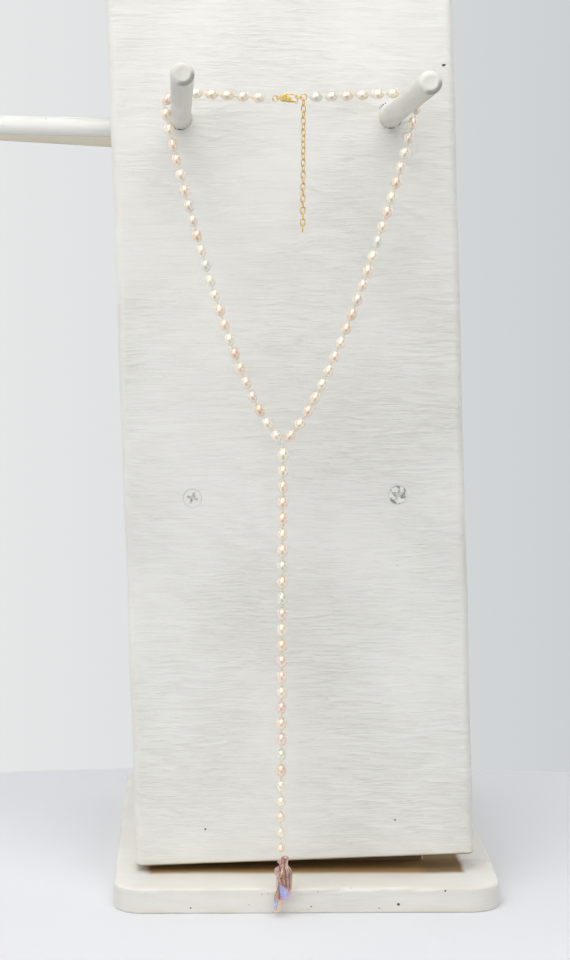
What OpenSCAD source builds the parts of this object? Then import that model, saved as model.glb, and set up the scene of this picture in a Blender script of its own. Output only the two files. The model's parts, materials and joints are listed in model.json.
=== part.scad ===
// Pearl lariat necklace hanging over the two pegs of a painted display stand.
// Origin: middle of the base's underside. X runs right, Y runs back, Z runs up. Millimetres.

/* [Base] */
// Width of the base plate
base_w = 158; // [150:1:200]
// Depth of the base plate
base_d = 214; // [180:1:260]
// Thickness of the base plate
base_t = 10.4; // [6:0.1:20]
// Radius of the base plate's corners
base_corner_r = 13; // [4:0.5:30]

/* [Board] */
// Width of the board
board_w = 140; // [120:1:150]
// Height of the board, measured along its face
board_h = 380; // [365:1:450]
// Thickness of the board
board_t = 18; // [14:0.5:25]
// Angle that the board leans back
board_lean = 2.6; // [0:0.1:5]
// Angle that the board is turned in its own plane, its top to the left
board_roll = 2.0; // [0:0.1:3]
// Gap below the middle of the board's front edge
board_lift = 4.75; // [4:0.05:12]
// Distance from the base's front edge back to the board's front edge
board_inset = 24.4; // [18:0.1:40]
// Radius of the board's long edges
board_edge_r = 3.2; // [1:0.1:6]

/* [Post] */
// Width of the block that carries the board
post_w = 100; // [96:1:116]
// Thickness of the block that carries the board
post_t = 34; // [31:0.5:50]
// Height of the block above the board's lower edge
post_h = 345; // [320:1:360]

/* [Pegs] */
// Diameter of a peg
peg_d = 8.2; // [6:0.1:10]
// Length of a peg in front of the board
peg_reach = 167; // [80:1:200]
// Depth of a peg's seat in the board
peg_seat = 10; // [6:0.5:12]
// Radius of the rounding round a peg's tip
peg_tip_r = 1.7; // [0.3:0.1:2]
// Left peg's place across the board from its middle
peg_left_x = -41.65; // [-46:0.05:-36]
// Left peg's height up the board
peg_left_z = 305.8; // [295:0.1:315]
// Angle that the left peg rises from the board's normal
peg_left_up = 0.3; // [-2:0.05:2]
// Angle that the left peg turns to the right
peg_left_side = 0.8; // [-2:0.05:2]
// Right peg's place across the board from its middle
peg_right_x = 43.5; // [36:0.05:48]
// Right peg's height up the board
peg_right_z = 304; // [295:0.1:315]
// Angle that the right peg rises from the board's normal
peg_right_up = -0.85; // [-2:0.05:2]
// Angle that the right peg turns to the right
peg_right_side = 0.15; // [-2:0.05:2]

/* [Board screws] */
// Left screw's place across the board
screw_left_x = -41.9; // [-46:0.1:-36]
// Left screw's height up the board
screw_left_z = 151.7; // [100:0.1:200]
// Right screw's place across the board
screw_right_x = 42.2; // [36:0.1:46]
// Right screw's height up the board
screw_right_z = 150.2; // [100:0.1:200]
// Diameter of a screw's head
screw_head_d = 7.5; // [6:0.1:9]
// Diameter of a screw's shank
screw_shank_d = 4; // [3:0.1:5]
// Height of a screw's countersunk head
screw_head_h = 2.2; // [1.5:0.1:4]
// Depth of a screw's shank in the post
screw_bite = 14; // [6:0.5:24]
// Depth of a screw's head below the board's face
screw_recess = 0.2; // [0.05:0.05:0.6]
// Width of the cross in a screw's head
cross_w = 0.9; // [0.6:0.1:1.4]
// Span of the cross in a screw's head
cross_span = 4.4; // [3:0.1:5.4]
// Depth of the cross in a screw's head
cross_depth = 1.1; // [0.5:0.1:1.4]

/* [Side rails] */
// Diameter of a side rail
rail_d = 8; // [5:0.1:9]
// Length of a side rail beyond the post
rail_reach = 76; // [40:1:120]
// Depth of a side rail's seat in the post
rail_seat = 20; // [10:1:30]
// Height of the front rail up the board
rail_front_z = 303.9; // [280:0.1:310]
// Front rail's axis behind the post's front face
rail_front_in = 8.8; // [6:0.1:10]
// Angle that the front rail rises to the left
rail_front_up = 2.9; // [0:0.1:6]
// Height of the back rail up the board
rail_back_z = 300.1; // [280:0.1:310]
// Back rail's axis behind the post's front face
rail_back_in = 24; // [20:0.1:26]
// Angle that the back rail rises to the left
rail_back_up = 5; // [0:0.1:6]

/* [Neck strands] */
// Distance of the hanging necklace from the base's front edge
hang_out = 5.5; // [4.5:0.1:12]
// Height from the Y up to the pegs' middle
v_depth = 129.75; // [110:0.25:140]
// Y's place to the right of the base's middle
y_x = -11.5; // [-20:0.1:2]
// Nominal length of a neck pearl
pearl_len = 5; // [4.4:0.05:5.05]
// Nominal diameter of a neck pearl
pearl_d = 3.75; // [3:0.05:4.2]
// Distance between the middles of neighbouring neck pearls
pearl_pitch = 5.95; // [5.9:0.01:6.6]
// Clear gap between a pearl and the peg that it rests on
peg_gap = 0.2; // [0.1:0.05:0.4]
// Bore through a pearl
bore_d = 0.8; // [0.7:0.05:1]
// Bare thread between the clasp ring's loop and the first left pearl's middle
lead_left = 5; // [4:0.1:8]
// Thread between the extender ring's loop and the first right pearl's middle
lead_right = 3.15; // [3.1:0.05:6]
// Distance from the last pearl's middle to the Y on each strand
y_lead = 3.75; // [3.7:0.05:4.5]

/* [Silk] */
// Diameter of the silk
silk_d = 0.44; // [0.3:0.02:0.5]
// Diameter of a knot between two pearls
knot_d = 0.68; // [0.55:0.01:0.7]
// Diameter of the knot at the Y
y_knot_d = 1.1; // [0.9:0.05:1.4]
// Radius of the silk's loop round a metal ring
silk_loop_r = 0.5; // [0.5:0.01:0.6]
// Diameter of the silk in that loop
silk_loop_d = 0.3; // [0.24:0.02:0.3]

/* [Drop] */
// Number of pearls in the drop
drop_count = 26; // [20:1:26]
// Distance between the middles of neighbouring drop pearls
drop_pitch = 6.32; // [6.2:0.01:6.4]
// Distance from the Y down to the first drop pearl's middle
drop_start = 5; // [4.8:0.05:6]
// Length of the first drop pearl
first_len = 5.8; // [5.2:0.05:6]
// Diameter of the first drop pearl
first_d = 4.5; // [3.8:0.05:4.8]
// Nominal length of the other drop pearls
drop_len = 5.25; // [4.6:0.05:5.3]
// Nominal diameter of the other drop pearls
drop_d = 4.05; // [3.4:0.05:4.3]
// Length of the last drop pearl
last_len = 3.5; // [3:0.05:5.2]
// Diameter of the last drop pearl
last_d = 3.2; // [3:0.05:4]

/* [Pendant] */
// Height of the baroque pearl
pendant_h = 23.2; // [18:0.1:24]
// Width that the baroque pearl's sections are shares of
pendant_w = 7.1; // [6:0.1:9]
// Depth of the baroque pearl from front to back
pendant_d = 6; // [4.5:0.1:7]
// Gap from the last drop pearl down to the baroque pearl's tip
pendant_gap = 1.55; // [0.8:0.05:2]
// Depth of the ridges as a share of the radius
ridge_share = 0.07; // [0:0.01:0.12]
// Depth of the drilled hole below the pearl's tip
drill_depth = 3.4; // [2.5:0.1:4]

/* [Clasp] */
// Left end of the clasp's body
clasp_x = -13.6; // [-14.4:0.1:-13.2]
// Height of the clasp's middle above the mean height of the pegs
clasp_rise = 3.8; // [2:0.1:4.5]
// Length of the clasp's body
clasp_len = 7.1; // [7:0.05:7.4]
// Height of the clasp's arm above its middle
clasp_h = 1.85; // [1.8:0.05:2.2]
// Thickness of the clasp's arm and nose
arm_t = 0.5; // [0.4:0.05:0.55]
// Width of the clasp's body from front to back
clasp_w = 1.8; // [1.6:0.05:2.4]
// Width of the clasp's nose from front to back
nose_w = 1; // [0.8:0.05:1]
// Width of the slot that the lever turns in
slot_w = 1.04; // [0.9:0.02:1.06]
// Side clearance of the lever in its slot
lever_side_gap = 0.1; // [0.05:0.01:0.2]
// Diameter of the lever's hinge pin
pin_d = 0.6; // [0.4:0.05:0.7]
// Radial clearance of the lever on its pin
pin_gap = 0.06; // [0.02:0.01:0.1]
// Radius of the lever's round end at the pin
lever_eye_r = 0.62; // [0.55:0.01:0.7]

/* [Rings and chain] */
// Diameter of the wire of the metal rings
ring_wire = 0.5; // [0.4:0.02:0.5]
// Centreline radius of the clasp's eye
eye_r = 0.75; // [0.7:0.01:0.9]
// Centreline radius of the ring on the clasp's eye
clasp_ring_r = 1.02; // [1:0.01:1.3]
// Centreline radius of the ring in the claw
hook_ring_r = 1.35; // [1.3:0.01:1.5]
// Angle that the ring in the claw is turned about the X axis
hook_ring_turn = 12; // [0:1:12]
// Centreline radius of the extender's ring
extender_ring_r = 1.2; // [1.15:0.01:1.5]
// Gap left between two pieces that pass through each other
link_gap = 0.1; // [0.08:0.01:0.12]
// Length of the extender chain
chain_len = 50; // [30:1:60]
// Distance between neighbouring links
link_pitch = 2.3; // [2.2:0.05:2.5]
// Diameter of a link's wire
link_wire = 0.45; // [0.36:0.01:0.46]
// Centreline width of a link
link_w = 1.65; // [1.6:0.05:2]
// Turn of the first link from the extender ring's plane
first_turn = 62; // [60:1:90]
// Twist from link to link, besides their quarter turns
link_twist = 3; // [0:1:4]

/* [Hidden] */

// Clearances
glue_gap = 0.1;
peg_fit = 0.1;
rail_fit = 0.1;
screw_fit = 0.1;
end_gap = 0.3;
past = 5;

// Facets of round wood, of small round metal and of a pearl
wood_fn = 48;
wire_fn = 16;
ring_fn = 40;
pearl_fn = 24;
pearl_steps = 8;
silk_sides = 5;
link_sides = 6;

// Colours
paint = [0.93, 0.92, 0.88];
pearl_white = [0.95, 0.91, 0.87];
gold = [0.85, 0.65, 0.25];
steel = [0.72, 0.72, 0.7];
silk_white = [0.94, 0.91, 0.85];
mauve = [0.66, 0.53, 0.55];

// Relative sizes of neighbouring pearls, repeated along a strand
size_cycle = [1, 0.965, 1.02, 0.985, 1.01, 0.95, 1.015];
// Share of the drop over which its last pearls grow smaller
taper_share = 0.2;

// Vector helpers
function unit(v) = v / norm(v);
function turn_x(a, p) = [p.x, p.y * cos(a) - p.z * sin(a), p.y * sin(a) + p.z * cos(a)];
function turn_y(b, p) = [p.x * cos(b) + p.z * sin(b), p.y, p.z * cos(b) - p.x * sin(b)];
function mix(a, b, t) = a + (b - a) * t;
function at_y(p, d, y) = p + d * (y - p.y) / d.y;

// The board's frame: u across, w into the board, v up its face
board_at = [0, -base_d / 2 + board_inset, base_t + board_lift];
function turn_board(p) = turn_y(-board_roll, turn_x(-board_lean, p));
function on_board(p) = board_at + turn_board(p);
function peg_dir(up, side) = turn_board([cos(up) * sin(side), -cos(up) * cos(side), sin(up)]);

// Where the pegs cross the upright plane that the necklace hangs in
neck_y = -base_d / 2 - hang_out;
peg_left_at = at_y(on_board([peg_left_x, 0, peg_left_z]), peg_dir(peg_left_up, peg_left_side), neck_y);
peg_right_at = at_y(on_board([peg_right_x, 0, peg_right_z]), peg_dir(peg_right_up, peg_right_side), neck_y);
peg_mid_z = (peg_left_at.z + peg_right_at.z) / 2;
wrap_r = peg_d / 2 + pearl_d * max(size_cycle) / 2 + peg_gap;
y_at = [y_x, neck_y, peg_mid_z - v_depth];

// Clasp, in its own frame: x to the right from the body's left end, z up
clasp_z = peg_mid_z + clasp_rise;
clasp_hw = clasp_w / 2;
arm_peak_x = clasp_len * 0.535;
arm_power = 2.8;
nose_r = 1;
nose_x = clasp_len - nose_r;
nose_z = -0.95;
pin_x = 1.6;
pin_z = -0.35;
cheek_end = 2.75;
cheek_low = -1.25;
lever_tip_r = 0.2;
lever_open = 12;
hinge_gap = 0.12;

// Rings from left to right, each passed through the one before it
eye_x = clasp_x - eye_r + 0.2;
wire_step = ring_wire + link_gap;
clasp_ring_x = eye_x - eye_r + wire_step - clasp_ring_r;
hook_pass = (nose_w / 2 + ring_wire / 2 + link_gap) / cos(hook_ring_turn);
hook_half = sqrt(hook_ring_r * hook_ring_r - hook_pass * hook_pass);
hook_ring_x = clasp_x + clasp_len - arm_t - ring_wire / 2 - link_gap - 0.03 + hook_half;
hook_ring_z = clasp_z + clasp_h * 0.27;
extender_ring_x = hook_ring_x + hook_ring_r - wire_step + extender_ring_r;
left_loop_at = [clasp_ring_x - clasp_ring_r, neck_y, clasp_z];
right_loop_at = [extender_ring_x + extender_ring_r, neck_y, hook_ring_z];

// Neck strand: from its loop along the top, round the peg, then down a curve to the Y
crest_angle = 7;
crest_handle = 6;
leave_angle = 13.2;
leave_share = 0.285;
join_angle = 53;
join_share = 0.153;

function curve3(a, b, c, t) = mix(mix(a, b, t), mix(b, c, t), t);
function curve4(a, b, c, d, t) = mix(curve3(a, b, c, t), curve3(b, c, d, t), t);
function wrap_point(side, c, a) = c + wrap_r * [side * sin(a), 0, cos(a)];
function top_part(side, start, c) =
    let (crest = wrap_point(side, c, -crest_angle))
    let (lead = crest - crest_handle * [side * cos(crest_angle), 0, sin(crest_angle)])
    [for (i = [0:11]) curve3(start, lead, crest, i / 12)];
function wrap_part(side, c) =
    [for (i = [0:12]) wrap_point(side, c, -crest_angle + (90 + leave_angle + crest_angle) * i / 12)];
function fall_part(side, c) =
    let (a = wrap_point(side, c, 90 + leave_angle))
    let (span = norm(y_at - a))
    let (b = a + span * leave_share * [-side * sin(leave_angle), 0, -cos(leave_angle)])
    let (d = y_at + span * join_share * [side * sin(join_angle), 0, cos(join_angle)])
    [for (i = [1:40]) curve4(a, b, d, y_at, i / 40)];
function strand(side, loop_at, c) =
    concat(top_part(side, loop_at + [side * silk_loop_r, 0, 0], c), wrap_part(side, c), fall_part(side, c));

// Distance along a route to each of its points, and the point at a distance
function run_sum(p) =
    [for (i = 0, s = 0; i < len(p); s = s + (i + 1 < len(p) ? norm(p[i + 1] - p[i]) : 0), i = i + 1) s];
function last(v) = v[len(v) - 1];
function place(p, sums, s) =
    let (below = len([for (x = sums) if (x <= s) x]) - 1)
    let (i = max(0, min(len(p) - 2, below)))
    mix(p[i], p[i + 1], (s - sums[i]) / (sums[i + 1] - sums[i]));

// A bead is [middle, direction, length, diameter]
function cycle_size(i) = size_cycle[i % len(size_cycle)];
function neck_beads(p, lead) =
    let (sums = run_sum(p))
    let (room = last(sums) - lead - y_lead)
    let (steps = round(room / pearl_pitch))
    [
        for (i = [0:steps])
        let (s = lead + room * i / steps)
        let (l = pearl_len * cycle_size(i))
        let (a = place(p, sums, max(0, s - l / 2)))
        let (b = place(p, sums, min(last(sums), s + l / 2)))
        [place(p, sums, s), unit(b - a), l, pearl_d * cycle_size(i + 3)]
    ];
function taper(i) = max(0, (i - (drop_count - 1) * (1 - taper_share)) / ((drop_count - 1) * taper_share));
function drop_beads() = [
    for (i = [0:drop_count - 1])
    let (l = i == 0 ? first_len : mix(drop_len * cycle_size(i), last_len, taper(i)))
    let (d = i == 0 ? first_d : mix(drop_d * cycle_size(i + 3), last_d, taper(i)))
    [y_at - [0, 0, drop_start + drop_pitch * i], [0, 0, -1], l, d]
];
left_route = strand(-1, left_loop_at, peg_left_at);
right_route = strand(1, right_loop_at, peg_right_at);
left_beads = neck_beads(left_route, lead_left);
right_beads = neck_beads(right_route, lead_right);
hanging_beads = drop_beads();

// Baroque pearl, shares of its height, width and depth from the top:
// [height, left edge, right edge, half depth]
pendant_sections = [
    [0.000, 0.15, 0.36, 0.10],
    [0.018, 0.07, 0.43, 0.17],
    [0.055, -0.05, 0.44, 0.22],
    [0.092, -0.18, 0.41, 0.25],
    [0.160, -0.05, 0.41, 0.27],
    [0.228, -0.31, 0.56, 0.40],
    [0.284, -0.33, 0.62, 0.46],
    [0.388, -0.23, 0.65, 0.50],
    [0.496, -0.23, 0.65, 0.50],
    [0.603, -0.21, 0.60, 0.46],
    [0.690, -0.31, 0.54, 0.38],
    [0.755, -0.35, 0.42, 0.30],
    [0.806, -0.38, 0.06, 0.20],
    [0.897, -0.39, -0.03, 0.15],
    [0.974, -0.39, -0.07, 0.12],
    [1.000, -0.33, -0.13, 0.06]
];
pendant_sides = 24;
ridge_count = 6;
ridge_turn = 150;
pendant_top = last(hanging_beads)[0] - [0, 0, last_len / 2 + pendant_gap];

// A tube through rings of [point, radius], closed into a loop if asked
function ring_dir(r, i, closed) =
    let (n = len(r))
    let (a = closed ? (i + n - 1) % n : max(0, i - 1))
    let (b = closed ? (i + 1) % n : min(n - 1, i + 1))
    unit(unit(r[b][0] - r[i][0] + (b == i ? r[i][0] - r[a][0] : [0, 0, 0]))
        + unit(r[i][0] - r[a][0] + (a == i ? r[b][0] - r[i][0] : [0, 0, 0])));
function across(v, t) = unit(v - (v * t) * t);

module tube(rings, sides, closed = false, start = [0, 1, 0]) {
    n = len(rings);
    t = [for (i = [0:n - 1]) ring_dir(rings, i, closed)];
    u = [for (i = 0, v = across(start, t[0]); i < n; i = i + 1, v = i < n ? across(v, t[i]) : v) v];
    points = [
        for (i = [0:n - 1], k = [0:sides - 1])
        rings[i][0] + rings[i][1] * (cos(360 * k / sides) * u[i] + sin(360 * k / sides) * cross(t[i], u[i]))
    ];
    walls = [
        for (i = [0:n - (closed ? 1 : 2)], k = [0:sides - 1])
        let (j = (i + 1) % n)
        let (m = (k + 1) % sides)
        [i * sides + k, j * sides + k, j * sides + m, i * sides + m]
    ];
    ends = closed ? [] : [[for (k = [0:sides - 1]) k], [for (k = [sides - 1:-1:0]) (n - 1) * sides + k]];
    polyhedron(points = points, faces = concat(walls, ends), convexity = 6);
}

module in_board_frame() {
    translate(board_at)
    rotate([-board_lean, -board_roll, 0])
    children();
}

// Turns a shape that points up so that it points out of the board
module peg_seat_at(x, z, up, side) {
    in_board_frame()
    translate([x, 0, z])
    rotate([90 - up, 0, side])
    children();
}

module rail_seat_at(z, in, up) {
    in_board_frame()
    translate([-post_w / 2, board_t + glue_gap + in, z])
    rotate([0, up - 90, 0])
    children();
}

module screw_at(x, z) {
    in_board_frame()
    translate([x, 0, z])
    rotate([-90, 0, 0])
    children();
}

// Shape of a countersunk screw, grown all round for its hole
module screw_shape(grow, mouth, extra) {
    head_r = screw_head_d / 2 + grow;
    shank_r = screw_shank_d / 2 + grow;
    translate([0, 0, screw_recess])
    cylinder(h = screw_head_h, r1 = head_r, r2 = shank_r, $fn = wood_fn);
    translate([0, 0, screw_recess])
    cylinder(h = board_t + screw_bite + extra, r = shank_r, $fn = wood_fn);
    if (mouth > 0)
        translate([0, 0, screw_recess - mouth])
        cylinder(h = mouth, r = head_r, $fn = wood_fn);
}

module screw() {
    color(steel)
    difference() {
        screw_shape(0, 0, 0);
        for (a = [20, 110])
            translate([0, 0, screw_recess])
            rotate([0, 0, a])
            cube([cross_span, cross_w, 2 * cross_depth], center = true);
    }
}

module peg_body() {
    r = peg_d / 2;
    l = peg_seat + peg_reach;
    tip = [for (a = [0:30:90]) [r - peg_tip_r + peg_tip_r * cos(a), l - peg_tip_r + peg_tip_r * sin(a)]];
    color(paint)
    translate([0, 0, -peg_seat])
    rotate_extrude($fn = wood_fn)
    polygon(concat([[0, 0], [r, 0]], tip, [[0, l]]));
}

module peg_hole() {
    translate([0, 0, -peg_seat - end_gap])
    cylinder(h = peg_seat + end_gap + past, r = peg_d / 2 + peg_fit, $fn = wood_fn);
}

module rail_body() {
    translate([0, 0, -rail_seat])
    cylinder(h = rail_seat + rail_reach, d = rail_d, $fn = wood_fn);
}

module rail_hole() {
    translate([0, 0, -rail_seat - end_gap])
    cylinder(h = rail_seat + end_gap + past, r = rail_d / 2 + rail_fit, $fn = wood_fn);
}

module rounded_plate(w, d, t, r) {
    linear_extrude(t) {
        square([w - 2 * r, d], center = true);
        square([w, d - 2 * r], center = true);
        for (x = [-1, 1], y = [-1, 1])
            translate([x * (w / 2 - r), y * (d / 2 - r)])
            circle(r, $fn = wood_fn);
    }
}

module stand_base() {
    color(paint)
    rounded_plate(base_w, base_d, base_t, base_corner_r);
}

// Block behind the board: its front face follows the board, its foot is flat on the base
module stand_post() {
    color(paint)
    difference() {
        in_board_frame()
        translate([-post_w / 2, board_t + glue_gap, -base_w])
        cube([post_w, post_t, base_w + post_h]);
        translate([-base_w, -base_d, base_t - 2 * base_w])
        cube([2 * base_w, 2 * base_d, 2 * base_w]);
        rail_seat_at(rail_front_z, rail_front_in, rail_front_up) rail_hole();
        rail_seat_at(rail_back_z, rail_back_in, rail_back_up) rail_hole();
        screw_at(screw_left_x, screw_left_z) screw_shape(screw_fit, 0, end_gap);
        screw_at(screw_right_x, screw_right_z) screw_shape(screw_fit, 0, end_gap);
    }
}

module stand_board() {
    color(paint)
    difference() {
        in_board_frame()
        translate([0, board_t / 2, 0])
        rounded_plate(board_w, board_t, board_h, board_edge_r);
        peg_seat_at(peg_left_x, peg_left_z, peg_left_up, peg_left_side) peg_hole();
        peg_seat_at(peg_right_x, peg_right_z, peg_right_up, peg_right_side) peg_hole();
        screw_at(screw_left_x, screw_left_z) screw_shape(screw_fit, past, end_gap);
        screw_at(screw_right_x, screw_right_z) screw_shape(screw_fit, past, end_gap);
    }
}

module peg_left() {
    peg_seat_at(peg_left_x, peg_left_z, peg_left_up, peg_left_side)
    peg_body();
}

module peg_right() {
    peg_seat_at(peg_right_x, peg_right_z, peg_right_up, peg_right_side)
    peg_body();
}

module board_screw_left() {
    screw_at(screw_left_x, screw_left_z) screw();
}

module board_screw_right() {
    screw_at(screw_right_x, screw_right_z) screw();
}

module side_rail_front() {
    color(paint)
    rail_seat_at(rail_front_z, rail_front_in, rail_front_up)
    rail_body();
}

module side_rail_back() {
    color([0.87, 0.83, 0.72])
    rail_seat_at(rail_back_z, rail_back_in, rail_back_up)
    rail_body();
}

// Angle round the pearl at which its skin meets the bore
function mouth_angle(d) = asin(bore_d / d);
function mouth_half(l, d) = l / 2 * cos(mouth_angle(d));

// A drilled pearl, its long axis up
module pearl(l, d) {
    a0 = mouth_angle(d);
    skin = [
        for (i = [0:pearl_steps])
        let (a = a0 + (180 - 2 * a0) * i / pearl_steps)
        [d / 2 * sin(a), -l / 2 * cos(a)]
    ];
    rotate_extrude($fn = pearl_fn)
    polygon(skin);
}

// The direction stays in the upright plane of the necklace
module place_pearls(beads) {
    color(pearl_white)
    for (b = beads)
        translate(b[0])
        rotate([0, atan2(b[1].x, b[1].z), 0])
        pearl(b[2], b[3]);
}

function bore_rings(b) =
    let (h = mouth_half(b[2], b[3]))
    [[b[0] - h * b[1], silk_d / 2], [b[0] + h * b[1], silk_d / 2]];
function knot_rings(a, b) =
    let (p = a[0] + mouth_half(a[2], a[3]) * a[1])
    let (q = b[0] - mouth_half(b[2], b[3]) * b[1])
    let (m = (p + q) / 2)
    let (t = unit(q - p))
    [for (k = [-1, 0, 1]) [m + k * knot_d * 0.36 * t, knot_d / 2 * (k == 0 ? 1 : 0.7)]];
function string_rings(beads) = [
    for (i = [0:len(beads) - 1])
    each concat(bore_rings(beads[i]), i + 1 < len(beads) ? knot_rings(beads[i], beads[i + 1]) : [])
];
function loop_rings(side, c) = concat(
    [for (i = [0:11]) let (a = 38 + 284 * i / 11)
        [c + silk_loop_r * [side * cos(a), sin(a), 0], silk_loop_d / 2]],
    [[c + [side * (silk_loop_r + silk_loop_d * 1.3), 0, 0], silk_loop_d / 2]]
);

module neck_thread(side, loop_at, beads) {
    toward = unit(last(beads)[0] - y_at);
    stop = y_at + toward * (y_knot_d / 2 + link_gap + silk_d / 2);
    color(silk_white)
    tube(concat(loop_rings(side, loop_at), string_rings(beads), [[stop, silk_d / 2]]), silk_sides, start = [0, 0, 1]);
}

module neck_thread_left() {
    neck_thread(-1, left_loop_at, left_beads);
}

module neck_thread_right() {
    neck_thread(1, right_loop_at, right_beads);
}

// The Y knot, the drop's silk and its end in the baroque pearl
module drop_thread() {
    r = y_knot_d / 2;
    knot = [for (a = [-72, -40, 0, 40, 72]) [y_at - [0, 0, r * sin(a)], r * cos(a)]];
    bottom = pendant_top - [0, 0, drill_depth - end_gap];
    color(silk_white)
    tube(concat(knot, string_rings(hanging_beads), [[bottom, silk_d / 2]]), silk_sides);
}

module neck_pearls_left() {
    place_pearls(left_beads);
}

module neck_pearls_right() {
    place_pearls(right_beads);
}

module drop_pearls() {
    place_pearls(hanging_beads);
}

function ridge(z, a) = 1 + ridge_share * cos(ridge_count * a + ridge_turn * z);

module pendant_pearl() {
    n = len(pendant_sections);
    points = [
        for (s = pendant_sections, k = [0:pendant_sides - 1])
        let (a = 360 * k / pendant_sides)
        let (half = (s[2] - s[1]) / 2)
        pendant_top + [
            pendant_w * ((s[1] + s[2]) / 2 + half * ridge(s[0], a) * cos(a)),
            pendant_d * s[3] * ridge(s[0], a) * sin(a),
            -pendant_h * s[0]
        ]
    ];
    walls = [
        for (i = [0:n - 2], k = [0:pendant_sides - 1])
        let (m = (k + 1) % pendant_sides)
        [i * pendant_sides + k, i * pendant_sides + m, (i + 1) * pendant_sides + m, (i + 1) * pendant_sides + k]
    ];
    ends = [
        [for (k = [pendant_sides - 1:-1:0]) k],
        [for (k = [0:pendant_sides - 1]) (n - 1) * pendant_sides + k]
    ];
    color(mauve)
    difference() {
        polyhedron(points = points, faces = concat(walls, ends), convexity = 6);
        translate(pendant_top - [0, 0, drill_depth])
        cylinder(h = drill_depth + past, d = bore_d, $fn = wire_fn);
    }
}

// Wire ring in the XY plane
module wire_ring(r) {
    color(gold)
    rotate_extrude($fn = ring_fn)
    translate([r, 0])
    circle(d = ring_wire, $fn = wire_fn);
}

module clasp_ring() {
    translate([clasp_ring_x, neck_y, clasp_z])
    rotate([90, 0, 0])
    wire_ring(clasp_ring_r);
}

module hook_ring() {
    translate([hook_ring_x, neck_y, hook_ring_z])
    rotate([hook_ring_turn, 0, 0])
    wire_ring(hook_ring_r);
}

module extender_ring() {
    translate([extender_ring_x, neck_y, hook_ring_z])
    rotate([90, 0, 0])
    wire_ring(extender_ring_r);
}

// Height of the clasp's rounded top at x, set in from its outside
function arm_z(x, inset) =
    let (half = x < arm_peak_x ? arm_peak_x - inset : clasp_len - arm_peak_x - inset)
    let (share = min(1, abs(x - arm_peak_x) / half))
    (clasp_h - inset) * pow(1 - pow(share, arm_power), 1 / arm_power);
// Points along that top, closer together towards both ends
function arm_line(x0, x1, inset) =
    [for (i = [0:24]) let (x = mix(x0, x1, (1 - cos(7.5 * i)) / 2)) [x, arm_z(x, inset)]];

// Extrudes an x, z outline evenly to both sides of the clasp's middle plane
module flat(width) {
    rotate([90, 0, 0])
    linear_extrude(width, center = true)
    children();
}

module arm_outline() {
    outer = arm_line(0, clasp_len, 0);
    inner = arm_line(arm_t, clasp_len - arm_t, arm_t);
    polygon(concat(outer, [for (i = [len(inner) - 1:-1:0]) inner[i]]));
}

module nose_outline() {
    outer = [for (a = [0:-20:-100]) [nose_x + nose_r * cos(a), nose_z + nose_r * sin(a)]];
    inner = [for (a = [-100:20:0]) [nose_x + (nose_r - arm_t) * cos(a), nose_z + (nose_r - arm_t) * sin(a)]];
    polygon(concat([[clasp_len, 0]], outer, inner, [[clasp_len - arm_t, 0]]));
}

module block_outline() {
    top = [for (p = arm_line(0, clasp_len, 0)) if (p.x <= cheek_end) p];
    low = [for (a = [0:-22.5:-90]) [0.9 + 0.9 * cos(180 - a), 0.9 * sin(a)]];
    polygon(concat(
        [[cheek_end, 0]],
        [for (i = [len(top) - 1:-1:0]) top[i]],
        [for (i = [1:len(low) - 1]) [low[i].x, low[i].y * -cheek_low / 0.9]],
        [[cheek_end - 0.4, cheek_low], [cheek_end, cheek_low + 0.35]]
    ));
}

// Room for the lever: round its eye, and under the arm to the right of it
module slot_outline() {
    eye = lever_eye_r + hinge_gap;
    translate([pin_x, pin_z])
    circle(eye, $fn = ring_fn);
    under = [for (p = arm_line(arm_t, clasp_len - arm_t, arm_t)) if (p.x > pin_x - eye && p.x < cheek_end) p];
    polygon(concat(
        [[pin_x - eye, pin_z]],
        under,
        [[cheek_end + 1, arm_z(cheek_end, arm_t)], [cheek_end + 1, 2 * cheek_low], [pin_x, 2 * cheek_low]]
    ));
}

module clasp_body() {
    eye_reach = clasp_x - eye_x;
    color(gold)
    translate([clasp_x, neck_y, clasp_z]) {
        difference() {
            intersection() {
                union() {
                    flat(clasp_w) arm_outline();
                    flat(clasp_w) block_outline();
                    flat(clasp_w) nose_outline();
                }
                translate([0, 0, -2 * clasp_h])
                linear_extrude(4 * clasp_h)
                polygon([
                    [-1, -clasp_hw], [cheek_end, -clasp_hw], [arm_peak_x + 0.8, -nose_w / 2], [clasp_len + 1, -nose_w / 2],
                    [clasp_len + 1, nose_w / 2], [arm_peak_x + 0.8, nose_w / 2], [cheek_end, clasp_hw], [-1, clasp_hw]
                ]);
            }
            flat(slot_w) slot_outline();
        }
        translate([pin_x, 0, pin_z])
        rotate([90, 0, 0])
        cylinder(h = clasp_w - 0.2, d = pin_d, center = true, $fn = ring_fn);
        translate([-eye_reach, 0, 0])
        wire_ring(eye_r);
    }
}

module lever_outline() {
    tip_x = nose_x - 0.02;
    tip_z = nose_z - (nose_r - arm_t) + link_gap + lever_tip_r;
    eye = [for (a = [60:23:290]) [pin_x + lever_eye_r * cos(a), pin_z + lever_eye_r * sin(a)]];
    tip = [for (a = [-90:30:90]) [tip_x + lever_tip_r * cos(a), tip_z + lever_tip_r * sin(a)]];
    below = [[cheek_end, -1.4], [arm_peak_x + 0.4, -1.55], [nose_x - 0.6, -1.48]];
    above = [
        [cheek_end + 2.2, -0.62], [cheek_end + 1.6, 0.05],
        [cheek_end + 0.8, clasp_h * 0.39], [pin_x + 0.5, clasp_h * 0.4]
    ];
    polygon(concat(eye, below, tip, above));
}

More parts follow.
